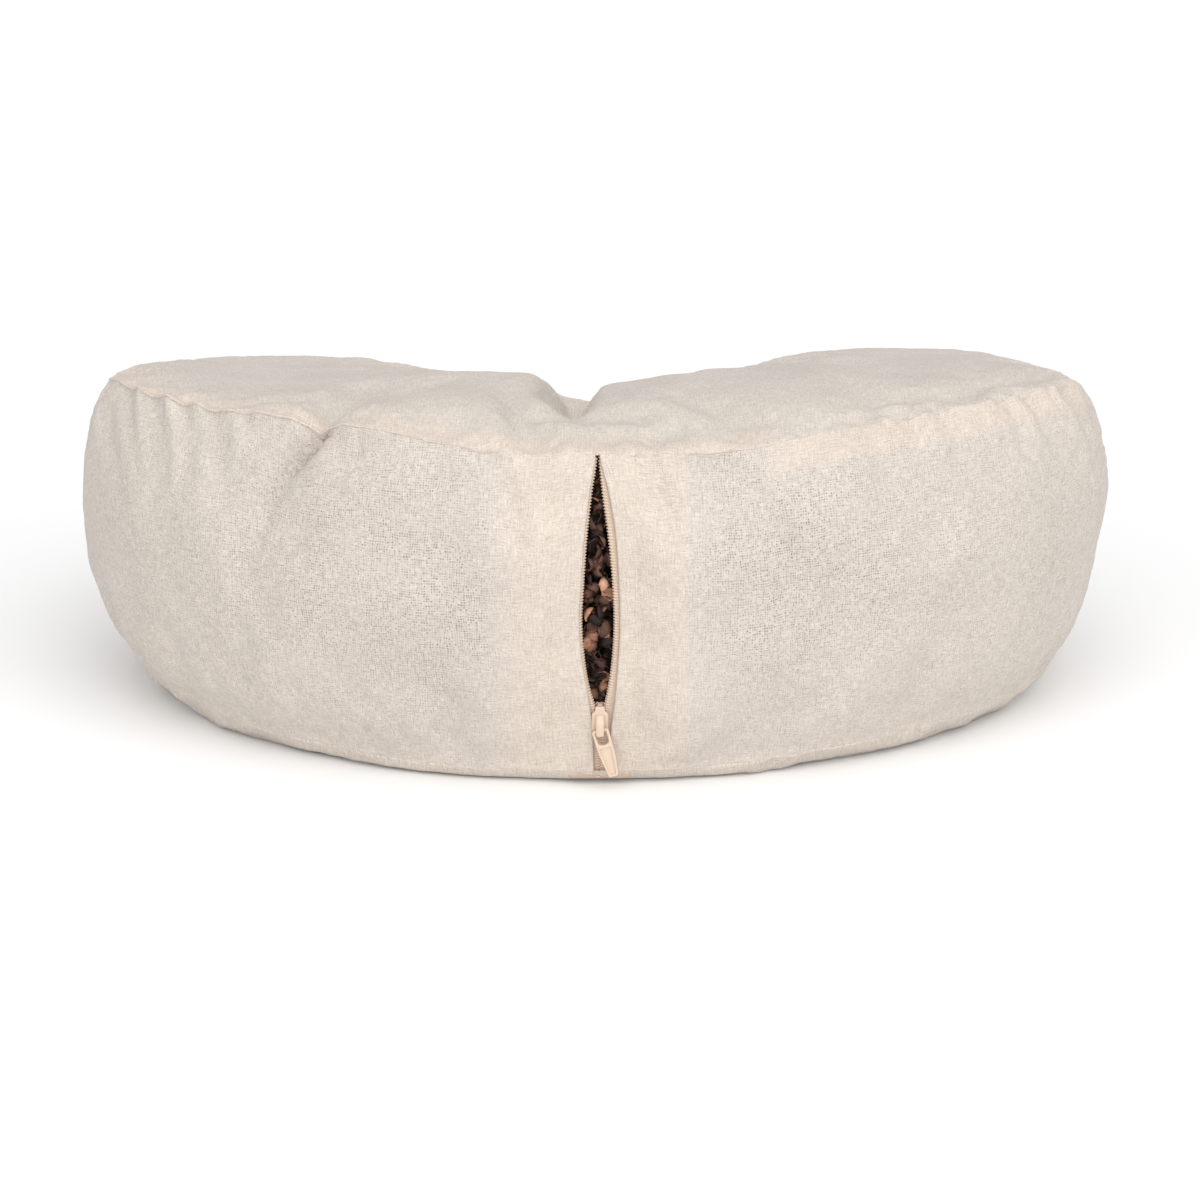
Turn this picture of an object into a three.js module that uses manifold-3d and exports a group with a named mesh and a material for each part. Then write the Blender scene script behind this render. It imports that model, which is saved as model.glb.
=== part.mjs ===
// Crescent meditation cushion: an inner cushion of unbleached calico, filled with buckwheat hulls.
// It stands on its flat base. Its convex side has an upright zip, half open, with the hulls behind it.
// Millimetres. X runs to the right, Y from the zip to the hollow back, Z up from the floor.

import * as THREE from 'three';
import { mergeVertices } from 'three/addons/utils/BufferGeometryUtils.js';
import Module from 'manifold-3d';

const wasm = await Module();
wasm.setup();

// Driving dimensions

const clothThickness = 1.2;
const pieceGap = 0.3;

// How far the joined parts of a moulded piece run into each other
const joinDepth = 0.1;

// Plan of the top seam, a crescent with two round lobes
const halfWidthLeft = 214;
const halfWidthRight = 212;
const tipsBehindFront = 148;
const lobeBackY = 250;
const lobeCentreX = 124;
const hollowDepth = 70;

// From its seams the top panel rises to its crown over this distance
const crownRun = 80;

// Valley in the top between the two lobes, which deepens towards the hollow
const valley = { x: -10.5, width: 11, depth: 19, run: [25, 105], fade: 34 };

// Under the bottom seam the base rolls in to the floor over this many times the seam's height
const baseRoll = 1.6;

// Zip: a tape behind each hemmed end of the band, with a coil on its inner edge. `depth` is how far the
// middle of the tape lies behind the outside of the band.
const tape = { thickness: 1.0, width: 12, depth: 2.25, low: 9.5, high: 134, step: 6 };
const coil = { width: 2.2, height: 1.4, sides: 8 };

// Behind the zip the filling lies this far in, out to a distance on either side
const zipHollow = { depth: 3.5, full: 20, gone: 32 };

// Slider: two plates joined by a wedge at the nose, and a bridge for the puller on the front one
const slider = { x: 1.2, height: 30.5, length: 12, width: 6.6, plate: 1.4, back: 0.9, play: 0.42 };
const sliderNose = { width: 4.2, shoulder: 2.4, wedgeWidth: 2.2, wedgeLength: 2.6 };
const sliderCorner = 1.6;
const bridge = { width: 2.4, length: 8.2, reach: 3.8, bar: 1.0, below: 1.0, slope: 2.6, end: 2.2, lift: 0.4 };

// Puller: a tapered tab that hangs from a cross bar under the bridge, its face sunk inside a rim
const puller = { length: 20.5, top: 6.8, end: 3.8, thickness: 1.4, corner: 1, waist: 0.2, tilt: 0.28 };
const pullerSlot = { width: 4.6, length: 5.6, bar: 1.1 };
const pullerFace = { rim: 0.7, sink: 0.35, belowSlot: 1.2 };
const pullerHang = { belowBar: 1.4, beforePlate: 1.4 };

// Divisions of the surface
const stationsPerHalf = 27;
const centreCell = 5;
const tipFan = { stations: 10, reach: 8 };

// Heights of the seams round the cushion, and the crown of the top above the line between its seams.
// `along` is -1 at the left tip, 0 at the zip and 1 at the right tip.
const seamHeights = [
  { along: -1.0, topFront: 130.5, topRear: 130.5, bottomFront: 17, bottomRear: 17, crown: 7 },
  { along: -0.8, topFront: 143, topRear: 124, bottomFront: 13, bottomRear: 12, crown: 6 },
  { along: -0.5, topFront: 147, topRear: 118, bottomFront: 7, bottomRear: 10, crown: 4 },
  { along: -0.3, topFront: 147, topRear: 118, bottomFront: 4.5, bottomRear: 9, crown: 9 },
  { along: -0.12, topFront: 139, topRear: 118, bottomFront: 5, bottomRear: 8, crown: 13.5 },
  { along: 0.0, topFront: 138, topRear: 113.5, bottomFront: 7, bottomRear: 8, crown: 16 },
  { along: 0.17, topFront: 138.5, topRear: 118, bottomFront: 6, bottomRear: 8, crown: 15 },
  { along: 0.28, topFront: 144, topRear: 119, bottomFront: 5, bottomRear: 9, crown: 12.5 },
  { along: 0.5, topFront: 149, topRear: 121, bottomFront: 6, bottomRear: 10, crown: 6 },
  { along: 0.8, topFront: 144, topRear: 126, bottomFront: 12, bottomRear: 12, crown: 4.5 },
  { along: 1.0, topFront: 126.5, topRear: 126.5, bottomFront: 13, bottomRear: 13, crown: 5 },
];

// How far the band stands out from the plan of the top seam. `up` is 0 at the bottom seam and 1 at the top.
const bandBulge = [
  { up: 0.0, front: -3, left: -9, right: -8, rear: -5 },
  { up: 0.06, front: 1, left: -2, right: -1.5, rear: -1 },
  { up: 0.16, front: 5.5, left: 4.5, right: 4, rear: 3 },
  { up: 0.28, front: 9.5, left: 9.5, right: 7.5, rear: 6 },
  { up: 0.4, front: 12, left: 12.5, right: 10, rear: 8 },
  { up: 0.52, front: 13, left: 13.5, right: 12, rear: 9 },
  { up: 0.64, front: 12, left: 12, right: 12.5, rear: 9 },
  { up: 0.75, front: 9.5, left: 9.5, right: 11, rear: 7.5 },
  { up: 0.86, front: 5.5, left: 6, right: 7.5, rear: 5 },
  { up: 0.94, front: 2.5, left: 2.5, right: 3.5, rear: 2.5 },
  { up: 1.0, front: 0, left: 0, right: 0, rear: 0 },
];

// The open zip at each height: the hemmed ends of the band and the inner sides of the two coils
const slitEdges = [
  { height: 0, clothLeft: -2.4, coilLeft: 0.95, coilRight: 1.45, clothRight: 4.8 },
  { height: 22, clothLeft: -2.7, coilLeft: 0.95, coilRight: 1.45, clothRight: 5.4 },
  { height: 30, clothLeft: -2.9, coilLeft: 0.95, coilRight: 1.45, clothRight: 6.0 },
  { height: 36, clothLeft: -3.1, coilLeft: -0.6, coilRight: 3.0, clothRight: 6.7 },
  { height: 46, clothLeft: -4.2, coilLeft: -2.9, coilRight: 4.7, clothRight: 7.6 },
  { height: 57, clothLeft: -5.8, coilLeft: -4.3, coilRight: 6.0, clothRight: 8.3 },
  { height: 72, clothLeft: -6.8, coilLeft: -5.3, coilRight: 6.7, clothRight: 8.9 },
  { height: 90, clothLeft: -5.9, coilLeft: -4.4, coilRight: 6.0, clothRight: 8.4 },
  { height: 108, clothLeft: -4.6, coilLeft: -3.1, coilRight: 4.2, clothRight: 7.1 },
  { height: 124, clothLeft: -3.1, coilLeft: -1.4, coilRight: 2.2, clothRight: 4.4 },
  { height: 139, clothLeft: -2.4, coilLeft: -0.2, coilRight: 0.5, clothRight: 2.6 },
];

// Main folds: lines on the surface that sink by `depth`, over `width` either side
const folds = [
  // the deep crease over the top seam of the left lobe
  { from: [-106, 74, 147], to: [-105, 30, 148], depth: 4, width: 9 },
  { from: [-105, 30, 148], to: [-117, 19, 133], depth: 7, width: 9 },
  { from: [-117, 19, 133], to: [-131, 20, 111], depth: 4.5, width: 8 },
  // puckers under the top seam at the left tip
  { from: [-200, 94, 143], to: [-197, 76, 118], depth: 2.5, width: 8 },
  { from: [-181, 72, 146], to: [-178, 58, 122], depth: 3, width: 8 },
  { from: [-166, 62, 147], to: [-162, 47, 132], depth: 4, width: 8 },
  // the left lobe falls to the centre
  { from: [-36, 80, 141], to: [-27, 10, 140], depth: 3, width: 9 },
  { from: [-41, 2, 137], to: [-34, -3, 122], depth: 2, width: 9 },
  // behind the lip over the zip
  { from: [-22, 38, 142], to: [2, 35, 142], depth: 3, width: 8 },
  // the slanting drag line right of the zip
  { from: [47, 2, 132], to: [68, 0, 113], depth: 1.6, width: 9 },
  // puckers under the top seam at the right tip
  { from: [107, 21, 146], to: [113, 18, 132], depth: 1.6, width: 8 },
  { from: [137, 35, 148], to: [142, 32, 134], depth: 2, width: 8 },
  { from: [176, 66, 148], to: [182, 66, 134], depth: 2.2, width: 8 },
  // pinches of the bottom seam
  { from: [-195, 107, 13], to: [-194, 101, 26], depth: 3, width: 9 },
  { from: [-168, 66, 7], to: [-167, 60, 20], depth: 3, width: 9 },
  { from: [71, 12, 5], to: [72, 6, 18], depth: 2, width: 9 },
  { from: [130, 34, 7], to: [131, 28, 20], depth: 3, width: 9 },
];

// Smooth reading of a table: a cubic through its rows, level at its ends
function readTable(rows, key, column, at) {
  const last = rows.length - 1;
  const x = THREE.MathUtils.clamp(at, rows[0][key], rows[last][key]);
  let i = 0;
  while (i < last - 1 && x > rows[i + 1][key]) i += 1;
  const [low, high] = [rows[i], rows[i + 1]];
  const slope = (row) => {
    if (row === 0 || row === last) return 0;
    const span = rows[row + 1][key] - rows[row - 1][key];
    return (rows[row + 1][column] - rows[row - 1][column]) / span;
  };
  const span = high[key] - low[key];
  const t = (x - low[key]) / span;
  const t2 = t * t;
  const t3 = t2 * t;
  return (2 * t3 - 3 * t2 + 1) * low[column] + (t3 - 2 * t2 + t) * span * slope(i)
    + (3 * t2 - 2 * t3) * high[column] + (t3 - t2) * span * slope(i + 1);
}

// Plan of the top seam. `along` is -1 to 1; the front runs through the zip and the rear through the hollow.
function frontPlan(along) {
  const angle = along * Math.PI / 2;
  const halfWidth = along < 0 ? halfWidthLeft : halfWidthRight;
  return new THREE.Vector2(halfWidth * Math.sin(angle), tipsBehindFront * (1 - Math.cos(angle)));
}

function rearPlan(along) {
  const side = Math.sign(along);
  const halfWidth = along < 0 ? halfWidthLeft : halfWidthRight;
  const share = Math.abs(along) * 2;
  if (share <= 1) {
    const wave = (1 + Math.cos(share * Math.PI)) / 2;
    return new THREE.Vector2(side * share * lobeCentreX, lobeBackY - hollowDepth * wave);
  }
  const angle = (share - 1) * Math.PI / 2;
  return new THREE.Vector2(
    side * (lobeCentreX + (halfWidth - lobeCentreX) * Math.sin(angle)),
    tipsBehindFront + (lobeBackY - tipsBehindFront) * Math.cos(angle),
  );
}

function planPoint(along, rear) {
  return rear ? rearPlan(along) : frontPlan(along);
}

// Outward direction in plan, square to the seam
function planNormal(along, rear) {
  if (Math.abs(along) > 0.999) return new THREE.Vector2(Math.sign(along), 0);
  const step = 0.001;
  const run = planPoint(along + step, rear).sub(planPoint(along - step, rear)).normalize();
  return rear ? new THREE.Vector2(-run.y, run.x) : new THREE.Vector2(run.y, -run.x);
}

// Stations along the crescent, with one narrow cell at the zip
const alongs = [];
const zipAlong = Math.asin(centreCell / 2 / halfWidthRight) * 2 / Math.PI;
for (let i = 0; i < stationsPerHalf; i += 1) {
  const share = i / (stationsPerHalf - 1);
  alongs.push(zipAlong + (1 - zipAlong) * share);
}
const stations = [...alongs.map((a) => -a).reverse(), ...alongs];
const lastStation = stations.length - 1;
const zipStations = [stationsPerHalf - 1, stationsPerHalf];

// Rows of a panel, by their distance from the nearer seam; `most` is the share of a short chord
const topRows = [
  { from: 'front', distance: 5, most: 0.08 },
  { from: 'front', distance: 13, most: 0.2 },
  { from: 'front', distance: 26, most: 0.32 },
  { from: 'front', distance: 44, most: 0.42 },
  { from: 'front', distance: 500, most: 0.5 },
  { from: 'rear', distance: 44, most: 0.4 },
  { from: 'rear', distance: 22, most: 0.26 },
  { from: 'rear', distance: 8, most: 0.12 },
];
const baseRows = [
  { from: 'front', distance: 2, most: 0.06 },
  { from: 'front', distance: 6, most: 0.16 },
  { from: 'front', distance: 16, most: 0.3 },
  { from: 'rear', distance: 16, most: 0.3 },
  { from: 'rear', distance: 5, most: 0.12 },
];

const lastUp = bandBulge.length - 1;

// The band: out from the plan by its bulge, and up between its two seams
function bandPoint(along, rear, row) {
  const normal = planNormal(along, rear);
  const plan = planPoint(along, rear);
  const bulge = bandBulge[row];
  const side = normal.x < 0 ? bulge.left : bulge.right;
  const facing = normal.y < 0 ? bulge.front : bulge.rear;
  const out = side * normal.x ** 2 + facing * normal.y ** 2;
  const face = rear ? 'Rear' : 'Front';
  const low = readTable(seamHeights, 'along', `bottom${face}`, along);
  const high = readTable(seamHeights, 'along', `top${face}`, along);
  const point = new THREE.Vector3(
    plan.x + normal.x * out,
    plan.y + normal.y * out,
    low + (high - low) * bulge.up,
  );
  return rear ? point : partedByZip(point, along);
}

// The open zip pushes the cloth beside it aside, less with each station
function partedByZip(point, along) {
  const beside = Math.abs(point.x) - centreCell / 2;
  const fade = Math.max(0, 1 - Math.max(0, beside) / 46);
  const column = along < 0 ? 'clothLeft' : 'clothRight';
  const edge = readTable(slitEdges, 'height', column, point.z);
  point.x += (edge - Math.sign(along) * centreCell / 2) * fade ** 1.5;
  return point;
}

// How far a point of a panel is, in plan, from the nearer part of its seam
function fromSeam(point, seam) {
  const flat = new THREE.Vector3(point.x, point.y, 0);
  const nearest = new THREE.Vector3();
  const distances = seam.map((edge) => edge.closestPointToPoint(flat, true, nearest).distanceTo(flat));
  return Math.min(...distances);
}

// The top rises from its seams to the crown
function shapeTop(point, seam, along) {
  const distance = fromSeam(point, seam);
  const rise = 1 - (1 - Math.min(distance / crownRun, 1)) ** 2;
  point.z += readTable(seamHeights, 'along', 'crown', along) * rise - centreDip(point, distance);
}

// Between the two lobes the top sags in a valley that runs back to the hollow and ends at the rear seam
function centreDip({ x, y }, distance) {
  const across = Math.exp(-(((x - valley.x) / valley.width) ** 2));
  const { smoothstep } = THREE.MathUtils;
  return valley.depth * across * smoothstep(y, ...valley.run) * smoothstep(distance, 0, valley.fade);
}

// The base rolls under from its seam, and is flat inside that
function shapeBase(point, seam) {
  const share = 1 - Math.min(fromSeam(point, seam) / (point.z * baseRoll), 1);
  point.z *= 1 - Math.sqrt(1 - share ** 2);
}

// One shared net of points for the whole outside, with its triangles sorted by panel
const points = [];
const faces = { top: [], base: [], band: [], slit: [] };

function addPoint(point) {
  points.push(point);
  return points.length - 1;
}

function addCell(list, a, b, c, d) {
  const quad = [a, b, c, d].filter((corner, i, all) => all.indexOf(corner) === i);
  if (quad.length < 3) return;
  list.push([quad[0], quad[1], quad[2]]);
  if (quad.length === 4) list.push([quad[0], quad[2], quad[3]]);
}

// The band's columns, anticlockwise seen from above: round the front, the right tip, the rear, the left tip
const columns = { front: [], rear: [] };
for (let station = 0; station <= lastStation; station += 1) {
  const tip = station === 0 || station === lastStation;
  const rows = bandBulge.map((_, row) => addPoint(bandPoint(stations[station], false, row)));
  columns.front.push(rows);
  columns.rear.push(tip ? rows : bandBulge.map((_, row) => addPoint(bandPoint(stations[station], true, row))));
}

for (let station = 0; station < lastStation; station += 1) {
  const atZip = station === zipStations[0];
  for (let row = 0; row < lastUp; row += 1) {
    const [f, r] = [columns.front, columns.rear];
    addCell(atZip ? faces.slit : faces.band, f[station][row], f[station + 1][row],
      f[station + 1][row + 1], f[station][row + 1]);
    addCell(faces.band, r[station + 1][row], r[station][row], r[station][row + 1], r[station + 1][row + 1]);
  }
}

// Near a tip the stations of a panel bow inwards, by this much at their middle, so that its cells stay broad
function tipBow(station, seamRow) {
  const fromTip = Math.min(station, lastStation - station);
  if (fromTip >= tipFan.stations) return 0;
  const side = station < lastStation / 2 ? -1 : 1;
  const edge = (count) => points[columns.front[side < 0 ? count : lastStation - count][seamRow]].x;
  const [nearest, furthest] = [edge(0) - side * tipFan.reach, edge(tipFan.stations)];
  return THREE.MathUtils.lerp(nearest, furthest, fromTip / tipFan.stations) - edge(fromTip);
}

// A panel's rows of points from the front seam to the rear seam at each station
function panelNet(rows, seamRow, shape) {
  const flat = ({ x, y }) => new THREE.Vector3(x, y, 0);
  const seam = [columns.front, columns.rear].flatMap((side) => side.slice(1).map((column, i) => (
    new THREE.Line3(flat(points[side[i][seamRow]]), flat(points[column[seamRow]]))
  )));
  return stations.map((along, station) => {
    const front = columns.front[station][seamRow];
    const rear = columns.rear[station][seamRow];
    if (front === rear) return [front, ...rows.map(() => front), front];
    const chord = points[front].distanceTo(points[rear]);
    const bow = tipBow(station, seamRow);
    const between = rows.map(({ from, distance, most }) => {
      const near = Math.min(distance / chord, most);
      const share = from === 'front' ? near : 1 - near;
      const point = points[front].clone().lerp(points[rear], share);
      point.x += bow * 4 * share * (1 - share);
      shape(point, seam, along);
      return addPoint(point);
    });
    return [front, ...between, rear];
  });
}

const topNet = panelNet(topRows, lastUp, shapeTop);
const baseNet = panelNet(baseRows, 0, shapeBase);

for (let station = 0; station < lastStation; station += 1) {
  for (let i = 0; i <= topRows.length; i += 1) {
    addCell(faces.top, topNet[station][i], topNet[station + 1][i],
      topNet[station + 1][i + 1], topNet[station][i + 1]);
  }
  for (let i = 0; i <= baseRows.length; i += 1) {
    addCell(faces.base, baseNet[station][i], baseNet[station][i + 1],
      baseNet[station + 1][i + 1], baseNet[station + 1][i]);
  }
}

const outside = [...faces.top, ...faces.base, ...faces.band, ...faces.slit];

// At each point, the inward step that keeps a sheet one unit thick on all the faces that meet there
function inwardSteps() {
  const meeting = points.map(() => []);
  const sums = points.map(() => new THREE.Vector3());
  for (const face of outside) {
    const [a, b, c] = face.map((corner) => points[corner]);
    const normal = b.clone().sub(a).cross(c.clone().sub(a));
    if (normal.length() < 1e-6) continue;
    const unit = normal.clone().normalize();
    face.forEach((corner, i) => {
      const [p, q, r] = [i, (i + 1) % 3, (i + 2) % 3].map((at) => points[face[at]]);
      const angle = q.clone().sub(p).angleTo(r.clone().sub(p));
      sums[corner].addScaledVector(unit, angle);
      meeting[corner].push(unit);
    });
  }
  return sums.map((sum, corner) => {
    const unit = sum.normalize();
    const narrowest = Math.min(...meeting[corner].map((face) => face.dot(unit)));
    return unit.clone().multiplyScalar(-1 / Math.max(narrowest, 0.6));
  });
}

// Folds sink along the smooth surface
function sinkFolds() {
  const inward = inwardSteps();
  points.forEach((point, corner) => {
    const sinks = folds.map(({ from, to, depth, width }) => {
      const line = new THREE.Line3(new THREE.Vector3(...from), new THREE.Vector3(...to));
      const nearest = line.closestPointToPoint(point, true, new THREE.Vector3());
      return depth * Math.exp(-((nearest.distanceTo(point) / width) ** 2));
    });
    point.addScaledVector(inward[corner].clone().normalize(), Math.max(...sinks));
    point.z = Math.max(point.z, 0);
  });
}

sinkFolds();
const inward = inwardSteps();

function geometryOf(corners, triangles) {
  const geometry = new THREE.BufferGeometry();
  geometry.setAttribute('position', new THREE.Float32BufferAttribute(corners.flatMap((p) => p.toArray()), 3));
  geometry.setIndex(triangles.flat());
  return geometry;
}

// A cloth panel: the outside, the same net one thickness in, and a wall round the cut edge
function sheet(triangles) {
  const edges = new Map();
  for (const [a, b, c] of triangles) {
    for (const [from, to] of [[a, b], [b, c], [c, a]]) {
      if (!edges.delete(`${to}_${from}`)) edges.set(`${from}_${to}`, [from, to]);
    }
  }
  const away = new Map();
  for (const [from, to] of edges.values()) {
    const run = points[to].clone().sub(points[from]).normalize();
    for (const corner of [from, to]) {
      const out = inward[corner].clone().cross(run).normalize();
      away.set(corner, (away.get(corner) ?? new THREE.Vector3()).add(out));
    }
  }
  const used = [...new Set(triangles.flat())];
  const place = new Map(used.map((corner, i) => [corner, i]));
  const outer = used.map((corner) => {
    const shift = away.get(corner);
    const point = points[corner].clone();
    return shift ? point.addScaledVector(shift.normalize(), -pieceGap * 0.55) : point;
  });
  const inner = outer.map((point, i) => point.clone().addScaledVector(inward[used[i]], clothThickness));
  const count = used.length;
  const all = [];
  for (const [a, b, c] of triangles) {
    const [i, j, k] = [place.get(a), place.get(b), place.get(c)];
    all.push([i, j, k], [i + count, k + count, j + count]);
  }
  for (const [from, to] of edges.values()) {
    const [i, j] = [place.get(from), place.get(to)];
    if (from < to) all.push([j, i, i + count], [j, i + count, j + count]);
    else all.push([j, i, j + count], [i, i + count, j + count]);
  }
  return geometryOf([...outer, ...inner], all);
}

// A solid through closed rings of points, with flat ends
function loft(rings) {
  const size = rings[0].length;
  const corners = rings.flat();
  const triangles = [];
  for (let ring = 0; ring < rings.length - 1; ring += 1) {
    for (let i = 0; i < size; i += 1) {
      const [a, b] = [ring * size + i, ring * size + (i + 1) % size];
      triangles.push([a, b, b + size], [a, b + size, a + size]);
    }
  }
  const end = (rings.length - 1) * size;
  for (let i = 1; i < size - 1; i += 1) {
    triangles.push([0, i + 1, i], [end, end + i, end + i + 1]);
  }
  return geometryOf(corners, triangles);
}

function solidOf(geometry) {
  const bare = geometry.clone();
  bare.deleteAttribute('normal');
  bare.deleteAttribute('uv');
  const merged = mergeVertices(bare, 1e-4);
  return new wasm.Manifold(new wasm.Mesh({
    numProp: 3,
    vertProperties: new Float32Array(merged.attributes.position.array),
    triVerts: new Uint32Array(merged.index.array),
  }));
}

function geometryFrom(solid) {
  const { vertProperties, triVerts, numProp } = solid.getMesh();
  const corners = [];
  for (let i = 0; i < vertProperties.length; i += numProp) {
    corners.push(new THREE.Vector3(vertProperties[i], vertProperties[i + 1], vertProperties[i + 2]));
  }
  const triangles = [];
  for (let i = 0; i < triVerts.length; i += 3) {
    triangles.push([triVerts[i], triVerts[i + 1], triVerts[i + 2]]);
  }
  return geometryOf(corners, triangles);
}

// The filling: the whole outside moved in behind the cloth, and further in behind the zip
function fillingGeometry() {
  const behindCloth = clothThickness + pieceGap * 4;
  const corners = points.map((point, corner) => {
    const beside = point.y < tipsBehindFront / 2 ? Math.abs(point.x) : Infinity;
    const share = 1 - THREE.MathUtils.smoothstep(beside, zipHollow.full, zipHollow.gone);
    const depth = THREE.MathUtils.lerp(behindCloth, zipHollow.depth, share);
    return point.clone().addScaledVector(inward[corner], depth);
  });
  return geometryOf(corners, outside);
}

// A place near the zip: x, the height, and how far in from the outside of the band
function zipPlace(x, height, depth) {
  const across = columns.front.slice(1, lastStation).map((column) => {
    let row = 0;
    while (row < lastUp - 1 && points[column[row + 1]].z < height) row += 1;
    const [low, high] = [column[row], column[row + 1]];
    const share = (height - points[low].z) / (points[high].z - points[low].z);
    return {
      wall: points[low].clone().lerp(points[high], share),
      step: inward[low].clone().lerp(inward[high], share),
    };
  });
  let i = 0;
  while (across[i + 1].wall.x < x) i += 1;
  const [left, right] = [across[i], across[i + 1]];
  const share = (x - left.wall.x) / (right.wall.x - left.wall.x);
  const wall = left.wall.clone().lerp(right.wall, share);
  const step = left.step.clone().lerp(right.step, share);
  return wall.addScaledVector(step.setX(0), depth);
}

const zipHeights = [tape.low];
for (let height = tape.step * 2; height < tape.high; height += tape.step) zipHeights.push(height);
zipHeights.push(tape.high);

function slitEdge(column, height) {
  return readTable(slitEdges, 'height', column, height);
}

// A tape from its coil outwards, behind the hemmed end of the band
function tapeGeometry(side) {
  const column = side < 0 ? 'coilLeft' : 'coilRight';
  const rings = zipHeights.map((height) => {
    const near = slitEdge(column, height) + side * (coil.width + pieceGap);
    const far = near + side * (tape.width - coil.width);
    const xs = [0, 0.5, 1].map((share) => THREE.MathUtils.lerp(near, far, share));
    const front = xs.map((x) => zipPlace(x, height, tape.depth - tape.thickness / 2));
    const back = xs.map((x) => zipPlace(x, height, tape.depth + tape.thickness / 2));
    const ring = [...front, ...back.reverse()];
    return side < 0 ? ring.reverse() : ring;
  });
  return loft(rings);
}

// A coil as one rounded strand along the inner edge of its tape
function coilGeometry(side) {
  const column = side < 0 ? 'coilLeft' : 'coilRight';
  const rings = zipHeights.map((height) => {
    const middle = slitEdge(column, height) + side * coil.width / 2;
    return Array.from({ length: coil.sides }, (_, i) => {
      const angle = (i + 0.5) / coil.sides * Math.PI * 2;
      const x = middle + Math.cos(angle) * coil.width / 2;
      return zipPlace(x, height, tape.depth + Math.sin(angle) * coil.height / 2);
    });
  });
  return loft(rings);
}

// A flat outline made `from` to `to` thick along its own Z
function plate(outline, from, to) {
  const geometry = new THREE.ExtrudeGeometry(outline, { depth: to - from, bevelEnabled: false, curveSegments: 4 });
  return geometry.translate(0, 0, from);
}

function shapeOf(corners) {
  return new THREE.Shape(corners.map(([x, y]) => new THREE.Vector2(x, y)));
}

// Faces of the slider's two plates towards the coils, measured out from the band
const plateInside = -(tape.depth - coil.height / 2 - slider.play);
const plateBehind = -(tape.depth + coil.height / 2 + slider.play);

// The slider, upright in its own frame: X across, Y up the zip, Z out from the band, 0 at the band's outside
function sliderSolid() {
  const [half, top] = [slider.width / 2, slider.length / 2];
  const outline = new THREE.Shape();
  outline.moveTo(-sliderNose.width / 2, top);
  outline.lineTo(-half, top - sliderNose.shoulder);
  outline.absarc(sliderCorner - half, sliderCorner - top, sliderCorner, Math.PI, Math.PI * 1.5);
  outline.absarc(half - sliderCorner, sliderCorner - top, sliderCorner, Math.PI * 1.5, Math.PI * 2);
  outline.lineTo(half, top - sliderNose.shoulder);
  outline.lineTo(sliderNose.width / 2, top);
  const front = solidOf(plate(outline, plateInside, plateInside + slider.plate));
  const back = solidOf(plate(outline, plateBehind - slider.back, plateBehind));
  const wedgeHalf = sliderNose.wedgeWidth / 2;
  const wedge = shapeOf([[-wedgeHalf, top], [0, top - sliderNose.wedgeLength], [wedgeHalf, top]]);
  const post = solidOf(plate(wedge, plateBehind - joinDepth, plateInside + joinDepth));
  return front.add(back).add(post).add(bridgeSolid(plateInside + slider.plate));
}

// The bridge arches over the puller's cross bar, seen here from the side and then turned across
function bridgeSolid(foot) {
  const low = -bridge.length / 2 - bridge.below;
  const high = low + bridge.length;
  const reach = foot + bridge.reach;
  const side = shapeOf([
    [low, foot - joinDepth],
    [low, reach - bridge.bar],
    [low + bridge.bar, reach],
    [high - bridge.slope, reach],
    [high, foot + bridge.lift],
    [high, foot - joinDepth],
  ]);
  const [lowIn, highIn, under] = [low + bridge.bar, high - bridge.end, reach - bridge.bar];
  const hole = shapeOf([[lowIn, foot], [highIn, foot], [highIn - bridge.lift, under], [lowIn, under]]);
  side.holes.push(hole);
  const arch = plate(side, -bridge.width / 2, bridge.width / 2);
  const across = new THREE.Matrix4().makeBasis(
    new THREE.Vector3(0, 1, 0),
    new THREE.Vector3(0, 0, 1),
    new THREE.Vector3(1, 0, 0),
  );
  return solidOf(arch.applyMatrix4(across));
}

// The puller in its own frame: hung from the middle of its cross bar at the origin, down along -Y
function pullerSolid() {
  const { corner, waist, thickness } = puller;
  const top = pullerSlot.bar / 2;
  const low = top - puller.length;
  const [wide, narrow] = [puller.top / 2, puller.end / 2];
  const outline = new THREE.Shape();
  outline.moveTo(corner - wide, top);
  outline.quadraticCurveTo(-wide, top, -wide, top - corner);
  outline.lineTo(waist - wide, low / 2);
  outline.lineTo(-narrow, low + corner);
  outline.quadraticCurveTo(-narrow, low, corner - narrow, low);
  outline.lineTo(narrow - corner, low);
  outline.quadraticCurveTo(narrow, low, narrow, low + corner);
  outline.lineTo(wide - waist, low / 2);
  outline.lineTo(wide, top - corner);
  outline.quadraticCurveTo(wide, top, wide - corner, top);

  // the slot is square under the bar and round at its lower end
  const slotHalf = pullerSlot.width / 2;
  const slotLow = -top - pullerSlot.length;
  const slot = new THREE.Shape();
  slot.moveTo(slotHalf, -top);
  slot.lineTo(-slotHalf, -top);
  slot.absarc(0, slotLow + slotHalf, slotHalf, Math.PI, Math.PI * 2);
  outline.holes.push(slot);

  const faceTop = slotLow - pullerFace.belowSlot;
  const [faceWide, faceNarrow] = [wide - waist - pullerFace.rim, narrow - pullerFace.rim];
  const face = shapeOf([
    [-faceWide, faceTop], [-faceNarrow, low + corner], [faceNarrow, low + corner], [faceWide, faceTop],
  ]);
  const body = solidOf(plate(outline, -thickness / 2, thickness / 2));
  return body.subtract(solidOf(plate(face, thickness / 2 - pullerFace.sink, thickness)));
}

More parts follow.
